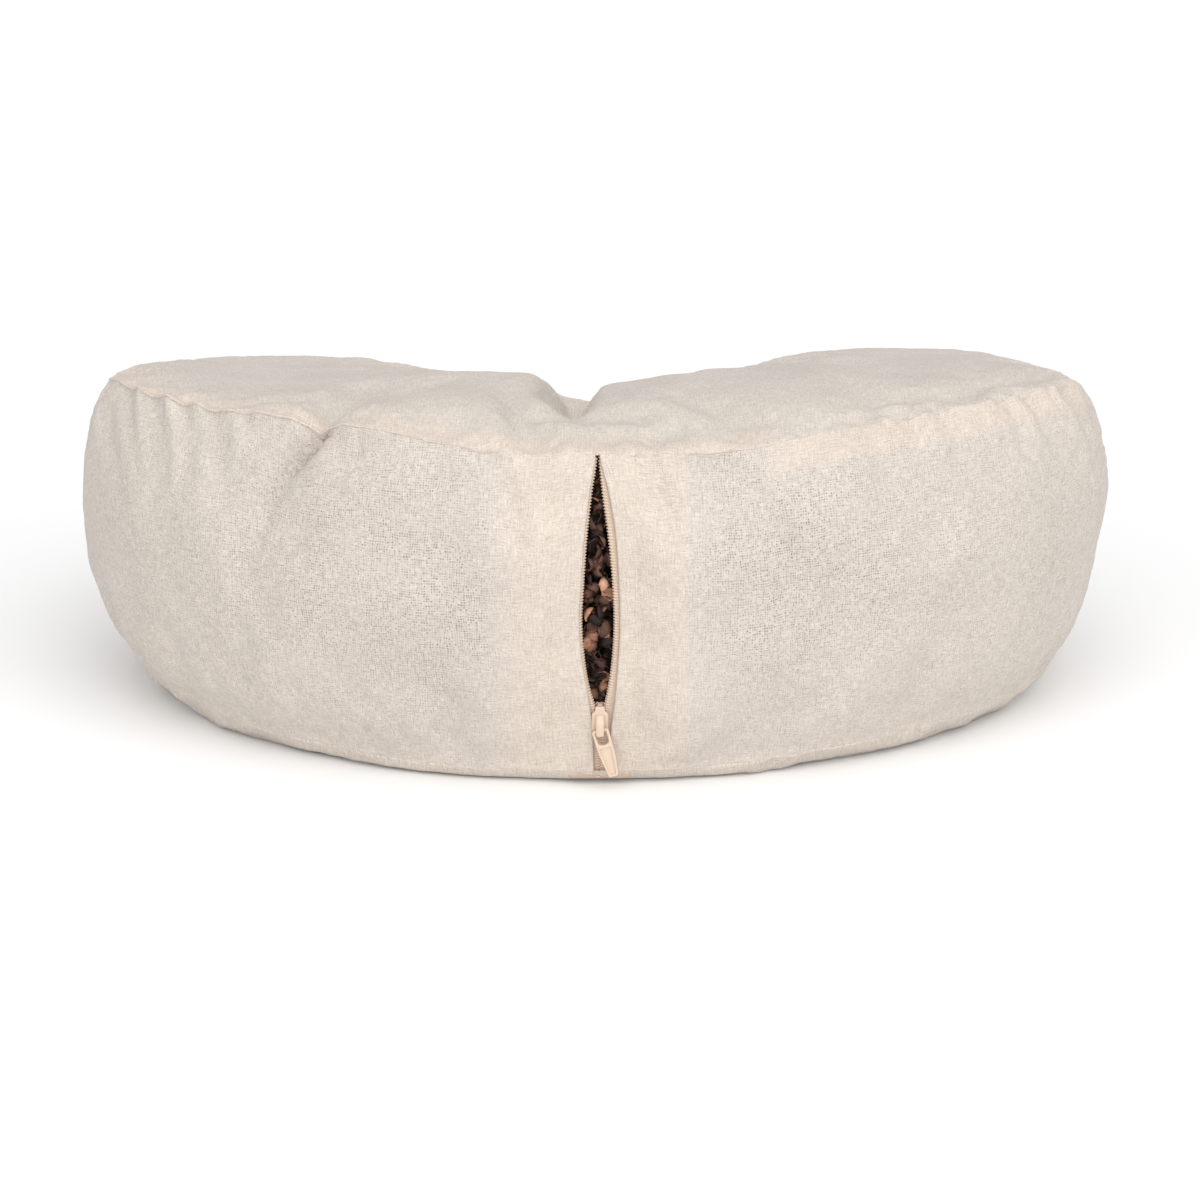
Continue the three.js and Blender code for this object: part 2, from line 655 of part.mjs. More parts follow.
// Where the slider lies on the zip: its frame has X across, Y up the band and Z out of it
function sliderFrame() {
  const low = zipPlace(slider.x, slider.height - slider.length / 2, 0);
  const high = zipPlace(slider.x, slider.height + slider.length / 2, 0);
  const up = high.clone().sub(low).setX(0).normalize();
  const across = new THREE.Vector3(1, 0, 0);
  const frame = new THREE.Matrix4().makeBasis(across, up, across.clone().cross(up));
  return frame.setPosition(low.lerp(high, 0.5));
}

// The cushion stands with its origin under the middle of its bounding box
const cushion = new THREE.Group();

function addPiece(name, geometry, finish) {
  const mesh = new THREE.Mesh(geometry, new THREE.MeshStandardMaterial(finish));
  mesh.name = name;
  cushion.add(mesh);
  return mesh;
}

const calico = { color: 0xdcd2c0, roughness: 0.92, metalness: 0 };
const tapeCloth = { color: 0xe2d2bb, roughness: 0.85, metalness: 0 };
const nylon = { color: 0xe6d6c0, roughness: 0.5, metalness: 0 };
const hulls = { color: 0x2c1d17, roughness: 0.7, metalness: 0 };

// A pocket in the filling for the back of the slider
function sliderPocket() {
  const [wide, long] = [slider.width / 2 + pieceGap * 2, slider.length / 2 + pieceGap * 2];
  const outline = shapeOf([[-wide, -long], [wide, -long], [wide, long], [-wide, long]]);
  return plate(outline, plateBehind - slider.back - pieceGap * 1.5, slider.plate);
}

const atSlider = sliderFrame();
const pocket = solidOf(sliderPocket().applyMatrix4(atSlider));
const filling = geometryFrom(solidOf(fillingGeometry()).subtract(pocket));

// The puller hangs straight down from the bridge, swung a little to the right
const hang = new THREE.Vector3(
  0,
  bridge.bar - bridge.length / 2 - bridge.below + pullerHang.belowBar,
  plateInside + slider.plate + pullerHang.beforePlate,
).applyMatrix4(atSlider);
const atPuller = new THREE.Matrix4().makeBasis(
  new THREE.Vector3(1, 0, 0),
  new THREE.Vector3(0, 0, 1),
  new THREE.Vector3(0, -1, 0),
).multiply(new THREE.Matrix4().makeRotationZ(puller.tilt)).setPosition(hang);

addPiece('top_panel', sheet(faces.top), calico);
addPiece('side_band', sheet(faces.band), calico);
addPiece('bottom_panel', sheet(faces.base), calico);
addPiece('hull_filling', filling, hulls);
addPiece('zip_tape_left', tapeGeometry(-1), tapeCloth);
addPiece('zip_tape_right', tapeGeometry(1), tapeCloth);
addPiece('zip_coil_left', coilGeometry(-1), nylon);
addPiece('zip_coil_right', coilGeometry(1), nylon);
addPiece('zip_slider', geometryFrom(sliderSolid()).applyMatrix4(atSlider), nylon);
addPiece('zip_puller', geometryFrom(pullerSolid()).applyMatrix4(atPuller), nylon);

const bounds = new THREE.Box3().setFromObject(cushion);
const middle = bounds.getCenter(new THREE.Vector3());
cushion.position.set(-middle.x, -middle.y, -bounds.min.z);
cushion.updateMatrixWorld(true);

export default cushion;
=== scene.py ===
# %% [markdown]
# # Crescent meditation cushion
#
# A crescent cushion is a bag of unbleached calico, sewn from three flat cuts: a crescent on top, the same
# crescent below, and one long band that stands between them. It is stuffed hard with buckwheat hulls and
# closed by a short upright zip at the middle of the convex side. Here the zip is open almost to its foot.
#
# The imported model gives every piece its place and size. This file draws the same surface much finer,
# lets a cloth simulation tighten it, and gives each piece its finish.

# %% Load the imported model
import math

import bmesh
import bpy
import numpy as np
from mathutils import Matrix, Vector, kdtree, noise


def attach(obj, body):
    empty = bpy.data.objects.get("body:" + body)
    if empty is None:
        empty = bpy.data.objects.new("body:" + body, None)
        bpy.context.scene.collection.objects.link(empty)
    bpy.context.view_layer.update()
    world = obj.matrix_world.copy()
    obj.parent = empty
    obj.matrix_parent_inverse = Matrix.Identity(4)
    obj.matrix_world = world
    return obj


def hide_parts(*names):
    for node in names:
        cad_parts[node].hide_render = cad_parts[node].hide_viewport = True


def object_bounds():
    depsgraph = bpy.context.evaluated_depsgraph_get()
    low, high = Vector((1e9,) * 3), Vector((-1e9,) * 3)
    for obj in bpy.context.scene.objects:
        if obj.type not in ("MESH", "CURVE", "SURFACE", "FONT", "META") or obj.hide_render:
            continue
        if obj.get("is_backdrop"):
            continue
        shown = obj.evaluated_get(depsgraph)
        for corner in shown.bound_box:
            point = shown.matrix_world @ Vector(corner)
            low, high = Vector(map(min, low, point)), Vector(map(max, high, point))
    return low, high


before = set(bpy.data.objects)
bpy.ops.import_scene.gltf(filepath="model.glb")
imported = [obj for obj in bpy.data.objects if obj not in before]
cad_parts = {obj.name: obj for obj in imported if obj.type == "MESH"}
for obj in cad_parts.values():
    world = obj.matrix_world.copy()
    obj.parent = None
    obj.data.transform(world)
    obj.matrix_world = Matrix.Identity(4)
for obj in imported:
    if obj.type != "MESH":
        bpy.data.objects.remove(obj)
cad_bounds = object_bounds()
scene = bpy.context.scene
print("solids", sorted(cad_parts))
print("box", [round(x, 4) for corner in cad_bounds for x in corner])

# %% [markdown]
# ## Units and places
#
# The cushion's sizes are given in millimetres from the foot of the zip, as a maker would measure them.
# The model's own origin is under the middle of the cushion, so one shift turns the first into the second.
# Two more helpers are used all through: a soft step, and one that puts a new object into the scene.

# %% From the maker's millimetres to the model's metres
zip_foot = np.array([1.5, -123.0032, 0.0])


def to_model(points_mm):
    return (np.asarray(points_mm, float) + zip_foot) / 1000.0


def smoothstep(x, low, high):
    """Rises softly from 0 at `low` to 1 at `high`."""
    t = np.clip((np.asarray(x, float) - low) / (high - low), 0, 1)
    return t * t * (3 - 2 * t)


def put(name, data):
    """A new object of the scene, at the origin, that shows the given data."""
    holder = bpy.data.objects.new(name, data)
    scene.collection.objects.link(holder)
    return holder


print("foot of the zip at", to_model((0, 0, 0)).round(4).tolist(), "m")

# %% [markdown]
# ## Camera
#
# The picture was taken from about a metre away and 41 cm above the table, tilted 18 degrees down.
# A lens of 82 mm on a 36 mm wide sensor gives the same view.

# %% Camera
camera_mm = (1.2, -1020.0, 410.0)
tilt_down = 18.0
focal_pixels, picture_pixels, sensor_mm = 2745.0, 1200.0, 36.0

lens = bpy.data.cameras.new("lens")
lens.sensor_width = sensor_mm
lens.lens = sensor_mm * focal_pixels / picture_pixels
lens.clip_start, lens.clip_end = 0.05, 30
camera = put("camera", lens)
camera.location = to_model(camera_mm)
camera.rotation_euler = (math.radians(90 - tilt_down), 0, 0)
scene.camera = camera
print("lens", round(lens.lens, 2), "mm, at", [round(x, 4) for x in camera.location])

# %% [markdown]
# ## Nodes and colours
#
# Materials are trees of nodes. One small function adds a node, sets its options, and either types a value
# into a socket or links another node's output to it. Colours are written as the hex values that a screen
# shows, and one function turns them to the linear values that light is reckoned in.


# %% Helpers for node trees
def linear(hex_colour):
    """A screen's hex colour as linear red, green and blue, and full cover."""
    def channel(value):
        return value / 12.92 if value <= 0.04045 else ((value + 0.055) / 1.055) ** 2.4

    digits = hex_colour.lstrip("#")
    return [channel(int(digits[i:i + 2], 16) / 255) for i in (0, 2, 4)] + [1.0]


def add_node(tree, kind, inputs=None, **settings):
    """A node with its settings, and with a value or a link in each of the given sockets."""
    node = tree.nodes.new(kind)
    for key, value in settings.items():
        setattr(node, key, value)
    for key, value in (inputs or {}).items():
        socket = node.inputs[key]
        if isinstance(value, bpy.types.NodeSocket):
            tree.links.new(value, socket)
        else:
            socket.default_value = value
    return node


def new_material(name, surface):
    """A material with one shader, and with the fixed values that its surface has."""
    material = bpy.data.materials.new(name)
    material.use_nodes = True
    tree = material.node_tree
    tree.nodes.clear()
    shader = add_node(tree, "ShaderNodeBsdfPrincipled", surface)
    add_node(tree, "ShaderNodeOutputMaterial", {"Surface": shader.outputs[0]})
    return material, tree, shader


print("the screen's grey #808080 is", round(linear("#808080")[0], 3), "of full light")

# %% [markdown]
# ## Table
#
# The cushion stands on a white table that runs on into a white background. A matt painted board does
# that: its roughness of 0.75 spreads the light, so it shows the soft shadow and no mirror image.

# %% Table
table_reach = 6.0

table_material = new_material("matt_white_board", {"Base Color": linear("#F6F6F6"), "Roughness": 0.75})[0]
table_mesh = bpy.data.meshes.new("table")
corners = [(x * table_reach, y * table_reach, 0) for x, y in ((-1, -1), (1, -1), (1, 1), (-1, 1))]
table_mesh.from_pydata(corners, [], [(0, 1, 2, 3)])
table_mesh.materials.append(table_material)
table = put("table", table_mesh)
table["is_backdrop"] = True
print("table", 2 * table_reach, "m wide")

# %% [markdown]
# ## Light
#
# The photograph is a catalogue picture, lit softly from all round, a little more from the front right than
# from the left. A pale world gives a part of the light. Only what the camera sees of it, behind the table,
# is fully white. Wide, far lamps give the rest, each as a soft sun, so that the table stays evenly white.

# %% World
world_light, world_seen = 0.47, 1.0

scene.view_settings.view_transform = "Standard"
scene.view_settings.look = "None"
world = bpy.data.worlds.new("studio")
scene.world = world
world.use_nodes = True
tree = world.node_tree
tree.nodes.clear()
ray = add_node(tree, "ShaderNodeLightPath")
strength = add_node(tree, "ShaderNodeMath", {0: ray.outputs["Is Camera Ray"], 1: world_seen - world_light,
                                             2: world_light}, operation="MULTIPLY_ADD")
sky = add_node(tree, "ShaderNodeBackground", {"Color": (1, 1, 1, 1), "Strength": strength.outputs[0]})
add_node(tree, "ShaderNodeOutputWorld", {"Surface": sky.outputs[0]})
print("world", world_light, "and", world_seen, "where it is seen")

# %% [markdown]
# Four lamps: one overhead, two from the front at the height of the cushion's face, and a faint low one that
# reaches under the bulge of the band.


# %% Lamps
def soft_sun(name, turn, height, spread, share):
    """A wide far lamp: `turn` to the right of the camera and `height` up, in degrees."""
    lamp = bpy.data.lights.new(name, "SUN")
    lamp.angle = math.radians(spread)
    lamp.energy = share * math.pi
    holder = put(name, lamp)
    turn, height = math.radians(turn), math.radians(height)
    level = math.cos(height)
    towards = Vector((math.sin(turn) * level, -math.cos(turn) * level, math.sin(height)))
    holder.rotation_euler = (-towards).to_track_quat("-Z", "Y").to_euler()
    holder.location = towards * 3


lamps = [
    # name, turn, height, spread, share of the light
    ("overhead_lamp", 20, 76, 60, 0.31),
    ("left_lamp", -28, 36, 50, 0.275),
    ("right_lamp", 36, 36, 50, 0.35),
    ("low_lamp", 5, 4, 30, 0.11),
]
for lamp in lamps:
    soft_sun(*lamp)
print("lamps", [name for name, *_ in lamps])

# %% [markdown]
# ## The sewn shape
#
# The cushion's shape follows a few measured curves, as a pattern does: the plan of the top seam, the
# heights of the two seams round it, and how far the band stands out between them. Sizes are in
# millimetres. Each curve is a short table with named columns, and it is read smoothly.

# %% Measured curves
# the plan: how far its ends and its two rear lobes lie from the zip, and how deep the hollow for the heels is
half_width_left, half_width_right = 214.0, 212.0
tips_behind_front = 148.0
lobe_back, lobe_centre = 250.0, 124.0
hollow_depth = 70.0
# the top panel rises to its crown over this run, but for a valley that runs back from above the zip
crown_run = 80.0
valley = {"x": -10.5, "width": 9.0, "depth": 18.0, "run": (25.0, 105.0), "from_seam": 34.0}
# the base panel comes down to the table over this many times the height of its seam
base_roll = 1.6

# heights of the seams and of the crown above the top seam, from the left tip, -1, to the right tip, 1
seam_columns = ("along", "top_front", "top_rear", "bottom_front", "bottom_rear", "crown")
seam_heights = np.array([
    (-1.0, 134, 134, 20, 20, 9),
    (-0.8, 144.5, 124, 15.5, 15, 5),
    (-0.5, 145.5, 118, 10.5, 11, -0.5),
    (-0.3, 146, 118, 7, 9, 7),
    (-0.12, 139, 118, 6, 8, 13.5),
    (0.0, 138, 113.5, 6.2, 8, 16),
    (0.17, 138.5, 118, 6.5, 8, 15),
    (0.28, 144, 119, 9.5, 9, 12),
    (0.5, 148, 121, 12, 12, 3.5),
    (0.8, 143.5, 125, 14.5, 15, 3),
    (1.0, 128.5, 128.5, 19, 19, 5),
])
# how far the band stands out past the plan of the top seam, by share of its height
bulge_columns = ("up", "front", "left", "right", "rear")
band_bulge = np.array([
    (0.0, 0.0, -6.5, -6.5, -5),
    (0.06, 2.2, -1.5, -2, -1),
    (0.16, 5.5, 4, 2.5, 3),
    (0.28, 9.5, 8.5, 5.5, 6),
    (0.4, 12, 9.5, 6.5, 8),
    (0.52, 13, 10, 9, 9),
    (0.64, 12, 9.5, 10.5, 9),
    (0.75, 9.5, 8.5, 10.5, 7.5),
    (0.86, 5.5, 7, 8.5, 5),
    (0.94, 2.5, 4, 4.5, 2.5),
    (1.0, 0, 0, 0, 0),
])
# the edges of the open slit: how far right of the zip's line each one lies, by height
slit_columns = ("height", "cloth_left", "coil_left", "coil_right", "cloth_right")
slit_edges = np.array([
    (0, -1.2, 0.95, 1.45, 4.6),
    (22, -1.5, 0.95, 1.45, 5.2),
    (30, -2.0, 0.95, 1.45, 6.0),
    (36, -2.8, -0.9, 3.0, 6.7),
    (46, -4.2, -3.4, 4.7, 7.6),
    (57, -5.8, -4.9, 6.0, 8.3),
    (72, -6.8, -5.9, 6.7, 8.9),
    (90, -5.9, -5.0, 6.0, 8.4),
    (108, -4.6, -3.7, 4.2, 7.1),
    (124, -2.6, -1.8, 2.0, 4.4),
    (139, -0.4, 0.2, 0.7, 1.0),
])
print("places measured: round the seams", len(seam_heights), "up the band", len(band_bulge),
      "and up the slit", len(slit_edges))

# %% [markdown]
# A table is read as a smooth curve through its rows, so that the cloth shows no kink where a row lies.


# %% Reading a table
def read_table(table, columns, column, at):
    """A smooth curve through one column of a table, level at its ends."""
    keys, values = table[:, 0], table[:, columns.index(column)]
    x = np.clip(np.asarray(at, float), keys[0], keys[-1])
    i = np.clip(np.searchsorted(keys, x, side="left") - 1, 0, len(keys) - 2)
    slopes = np.zeros(len(keys))
    slopes[1:-1] = (values[2:] - values[:-2]) / (keys[2:] - keys[:-2])
    span = keys[i + 1] - keys[i]
    t = (x - keys[i]) / span
    return (
        (2 * t**3 - 3 * t**2 + 1) * values[i] + (t**3 - 2 * t**2 + t) * span * slopes[i]
        + (3 * t**2 - 2 * t**3) * values[i + 1] + (t**3 - t**2) * span * slopes[i + 1]
    )


def seam_height(column, along):
    return read_table(seam_heights, seam_columns, column, along)


print("top seam from", seam_heights[:, 1:3].min(), "to", seam_heights[:, 1:3].max(), "mm")

# %% [markdown]
# The plan has a front curve through the zip and a rear curve through the hollow for the heels. Both run
# from the left tip, -1, to the right tip, 1.


# %% Plan
def front_plan(along):
    angle = along * math.pi / 2
    half_width = np.where(along < 0, half_width_left, half_width_right)
    return np.stack([half_width * np.sin(angle), tips_behind_front * (1 - np.cos(angle))], -1)


def rear_plan(along):
    share, side = np.abs(along) * 2, np.sign(along)
    half_width = np.where(along < 0, half_width_left, half_width_right)
    hollow_y = lobe_back - hollow_depth * (1 + np.cos(np.minimum(share, 1) * math.pi)) / 2
    angle = np.maximum(share - 1, 0) * math.pi / 2
    x = np.where(share <= 1, share * lobe_centre, lobe_centre + (half_width - lobe_centre) * np.sin(angle))
    lobe_y = tips_behind_front + (lobe_back - tips_behind_front) * np.cos(angle)
    return np.stack([side * x, np.where(share <= 1, hollow_y, lobe_y)], -1)


def plan_normal(along, plan, turn):
    """The level direction outwards from the plan. At the tips it points straight to the side."""
    step = 0.001
    run = plan(np.clip(along + step, -1, 1)) - plan(np.clip(along - step, -1, 1))
    normal = np.stack([run[:, 1], -run[:, 0]], -1) * turn
    normal /= np.linalg.norm(normal, axis=1, keepdims=True)
    at_tip = np.abs(along) > 0.999
    normal[at_tip] = np.stack([np.sign(along[at_tip]), 0 * along[at_tip]], -1)
    return normal


print("tips at", front_plan(np.array([-1.0, 1.0])).round(1).tolist(), "mm")

# %% [markdown]
# The band stands on the plan. Beside the zip its cloth is pushed aside by the open slit, which leaves a
# narrow cell free between the band's two ends.

# %% Band
centre_cell, hem_roll = 5.0, 0.7
parted_reach = 46.0


def parted_by_zip(grid, along):
    """The open zip pushes the cloth beside it aside, less with each millimetre."""
    beside = np.maximum(0, np.abs(grid[..., 0]) - centre_cell / 2)
    fade = np.maximum(0, 1 - beside / parted_reach)
    left = read_table(slit_edges, slit_columns, "cloth_left", grid[..., 2])
    right = read_table(slit_edges, slit_columns, "cloth_right", grid[..., 2])
    side = np.sign(along)[:, None]
    edge = np.where(side < 0, left - hem_roll, right + hem_roll)
    grid = grid.copy()
    grid[..., 0] += (edge - side * centre_cell / 2) * fade**1.5
    return grid


def band_grid(along, ups, rear):
    """Points of the band, [station, row], from the bottom seam up."""
    plan = rear_plan if rear else front_plan
    place, normal = plan(along), plan_normal(along, plan, -1 if rear else 1)
    bulge = {c: read_table(band_bulge, bulge_columns, c, ups) for c in bulge_columns[1:]}
    nx, ny = normal[:, :1], normal[:, 1:]
    side = np.where(nx < 0, bulge["left"], bulge["right"])
    facing = np.where(ny < 0, bulge["front"], bulge["rear"])
    out = side * nx**2 + facing * ny**2
    face = "rear" if rear else "front"
    low, high = seam_height(f"bottom_{face}", along)[:, None], seam_height(f"top_{face}", along)[:, None]
    grid = np.stack([place[:, :1] + nx * out, place[:, 1:] + ny * out, low + (high - low) * ups], -1)
    return grid if rear else parted_by_zip(grid, along)


print("the ends of the band are parted over", parted_reach, "mm on each side")

# %% [markdown]
# ## One net for the whole cover
#
# All three cuts share one net of points, so that they meet exactly at the seams. Rows lie close together
# beside a seam, where the cloth turns in sharply, and wider apart in the middle of a panel.

# %% Rows and stations
zip_along = math.asin(centre_cell / 2 / half_width_right) * 2 / math.pi
# from, to and number of stations on each side: close beside the zip, and close again where the folds are
station_runs = ((zip_along, 0.125, 34), (0.125, 0.28, 16), (0.28, 0.95, 108), (0.95, 1, 7))
half_run = np.concatenate([np.linspace(*run, endpoint=False) for run in station_runs] + [[1.0]])
along = np.concatenate([-half_run[::-1], half_run])
stations = len(along)
zip_stations = (stations // 2 - 1, stations // 2)

band_height, even_from, even_rows = 150.0, 9.8, 50
seam_steps = np.array([0.3, 0.9, 2.0, 3.3, 5.0, 7.2])
band_ups = np.concatenate([
    [0], seam_steps / band_height,
    np.linspace(even_from, band_height - even_from, even_rows) / band_height,
    1 - seam_steps[::-1] / band_height, [1],
])
middle_row = 30
print("stations", stations, "and rows of the band", len(band_ups))

# %% [markdown]
# A panel's rows run from the front seam to the rear one. Where a station is too short for all of them, they
# move closer together. The distance from the seam then shapes each panel: the top rises to its crown, and
# the base rolls under to the table.


# %% Shares and distances
def panel_shares(chords, half_rows, step):
    """Shares of each chord at which the rows lie, from the front seam to the rear one."""
    distances = np.concatenate([seam_steps, seam_steps[-1] + step * np.arange(1, half_rows)])[:half_rows - 1]
    most = np.arange(1, half_rows) / (2 * half_rows)
    front = np.minimum(distances[None] / chords[:, None], most[None])
    middle = np.full((len(chords), 1), 0.5)
    return np.concatenate([front, middle, 1 - front[:, ::-1]], 1)


def to_segments(points, line):
    """Distance of each point from a polyline, and how far along the polyline the nearest place is."""
    a, run = line[:-1], np.diff(line, axis=0)
    length = np.linalg.norm(run, axis=1)
    start = np.concatenate([[0], np.cumsum(length)[:-1]])
    nearest, where = np.full(len(points), np.inf), np.zeros(len(points))
    for i in range(len(a)):
        if length[i] < 1e-9:
            continue
        t = np.clip((points - a[i]) @ run[i] / length[i] ** 2, 0, 1)
        distance = np.linalg.norm(points - a[i] - t[:, None] * run[i], axis=1)
        closer = distance < nearest
        nearest = np.where(closer, distance, nearest)
        where = np.where(closer, start[i] + t * length[i], where)
    return nearest, where


print("shares of a short chord", panel_shares(np.array([40.0]), 4, 3.0).round(2).tolist())

# %% [markdown]
# At the tips the stations would all meet in one point. They are bowed inwards there, so that the cells
# between them stay wide enough to carry folds.

# %% Panels between the seams
tip_run, tip_reach = 10 / 26, 8.0


def panel_grid(front, rear, half_rows, step, shape):
    """Points of a crescent panel, [station, row], between its two seams."""
    chords = np.maximum(np.linalg.norm(rear - front, axis=1), 1e-6)
    share = panel_shares(chords, half_rows, step)
    grid = front[:, None] * (1 - share[..., None]) + rear[:, None] * share[..., None]
    from_tip = np.clip((1 - np.abs(along)) / tip_run, 0, 1)
    side = np.sign(along)
    tip_x = np.where(side < 0, front[0, 0], front[-1, 0]) - side * tip_reach
    run_x = np.interp(side * (1 - tip_run), along, front[:, 0])
    bow = np.where(from_tip < 1, tip_x * (1 - from_tip) + run_x * from_tip - front[:, 0], 0)
    grid[..., 0] += bow[:, None] * 4 * share * (1 - share)
    seam = np.concatenate([front, rear[::-1]])[:, :2]
    flat = grid.reshape(-1, 3)
    distance = to_segments(flat[:, :2], seam)[0].reshape(grid.shape[:2])
    return shape(grid, distance)


def crowned(grid, distance):
    rise = 1 - (1 - np.minimum(distance / crown_run, 1)) ** 2
    sag = np.exp(-(((grid[..., 0] - valley["x"]) / valley["width"]) ** 2))
    grid[..., 2] += seam_height("crown", along)[:, None] * rise
    sag *= smoothstep(grid[..., 1], *valley["run"]) * smoothstep(distance, 0, valley["from_seam"])
    grid[..., 2] -= valley["depth"] * sag
    return grid


def rolled_under(grid, distance):
    share = 1 - np.minimum(distance / (grid[..., 2] * base_roll), 1)
    grid[..., 2] *= share**2
    return grid


front_band = band_grid(along, band_ups, False)
rear_band = band_grid(along, band_ups, True)
top_grid = panel_grid(front_band[:, -1], rear_band[:, -1], 38, 2.9, crowned)
base_grid = panel_grid(front_band[:, 0], rear_band[:, 0], 20, 5.6, rolled_under)
print("band", front_band.shape, "top", top_grid.shape, "base", base_grid.shape)

# %% [markdown]
# The grids become one list of points. Where two grids share a seam or a tip, they share the points too.


# %% Join the grids
def join_grids():
    """All points of the net, and for each grid the numbers of its points."""
    points, numbers = [], {}

    def give(name, grid, shared=None):
        rows, columns = grid.shape[:2]
        number = np.full((rows, columns), -1)
        for (row, column), existing in (shared or {}).items():
            number[row, column] = existing
        free = number < 0
        number[free] = len(points) + np.arange(free.sum())
        points.extend(grid[free])
        numbers[name] = number

    last = stations - 1
    give("front", front_band)
    rows = range(len(band_ups))
    give("rear", rear_band, {(s, r): numbers["front"][s, r] for s in (0, last) for r in rows})
    for name, grid, seam in (("top", top_grid, -1), ("base", base_grid, 0)):
        columns = grid.shape[1]
        padded = np.concatenate([front_band[:, seam][:, None], grid, rear_band[:, seam][:, None]], 1)
        shared = {}
        for s in range(stations):
            shared[s, 0] = numbers["front"][s, seam]
            shared[s, columns + 1] = numbers["rear"][s, seam]
        for s in (0, last):
            for column in range(columns + 2):
                shared[s, column] = numbers["front"][s, seam]
        give(name, padded, shared)
    return np.array(points), numbers


def cells(number, flip=False, skip=None):
    """Quads of a grid of point numbers, without those that have shrunk to nothing."""
    found = []
    for s in range(number.shape[0] - 1):
        if s == skip:
            continue
        for quad in zip(number[s, :-1], number[s + 1, :-1], number[s + 1, 1:], number[s, 1:]):
            corners = list(dict.fromkeys(int(q) for q in (quad[::-1] if flip else quad)))
            if len(corners) > 2:
                found.append(corners)
    return found


points, numbers = join_grids()
faces = {
    "band": cells(numbers["front"], skip=zip_stations[0]) + cells(numbers["rear"], flip=True),
    "slit": cells(numbers["front"][zip_stations[0]:zip_stations[1] + 1]),
    "top": cells(numbers["top"]),
    "base": cells(numbers["base"], flip=True),
}
print("points", len(points), {name: len(quads) for name, quads in faces.items()})

# %% [markdown]
# ## Which way the cloth faces
#
# Folds and relief push the cloth in and out, so each point needs a direction to move in. That is the mean of
# the faces round it. At a seam the band and a panel meet at an angle, and there the directions are averaged
# further, so that what is pushed out on both sides doesn't cross.


# %% Normals of the net
def corner_normals(places, quads):
    """The direction outwards at each point: the mean of its faces, the larger ones counting for more."""
    triangles = np.array([q[:3] for q in quads] + [[q[0], q[2], q[3]] for q in quads if len(q) == 4])
    a, b, c = (places[triangles[:, k]] for k in range(3))
    facing = np.cross(b - a, c - a)
    total = np.zeros_like(places)
    for k in range(3):
        np.add.at(total, triangles[:, k], facing)
    return of_length_one(total)


def of_length_one(vectors):
    return vectors / np.maximum(np.linalg.norm(vectors, axis=1, keepdims=True), 1e-12)


def soften(normals, places, reach):
    """Averages normals along each station's ring, so that they turn the corner at a seam gradually."""
    soft = normals.copy()
    for s in range(stations):
        ring = np.concatenate([numbers["front"][s], numbers["top"][s, 1:-1], numbers["rear"][s, ::-1],
                               numbers["base"][s, -2:0:-1]])
        steps = np.linalg.norm(places[ring] - places[np.roll(ring, 1)], axis=1)
        at = np.cumsum(steps)
        apart = np.abs(at[:, None] - at[None])
        apart = np.minimum(apart, steps.sum() - apart)
        soft[ring] = of_length_one(np.exp(-((apart / reach) ** 2)) @ normals[ring])
    return soft


whole = [quad for quads in faces.values() for quad in quads]
plain_normals = corner_normals(points, whole)
print("whole cover", len(whole), "faces")

# %% [markdown]
# ## Folds
#
# Cloth that is eased on to a shorter seam has to go somewhere: it folds. The large creases of the
# photograph are drawn one by one, as lines on the surface that sink in, with the cloth a little raised
# beside them. Each row gives a fold's depth at its start and end and its width, in millimetres, and for a
# creased one how sharp its bottom is.

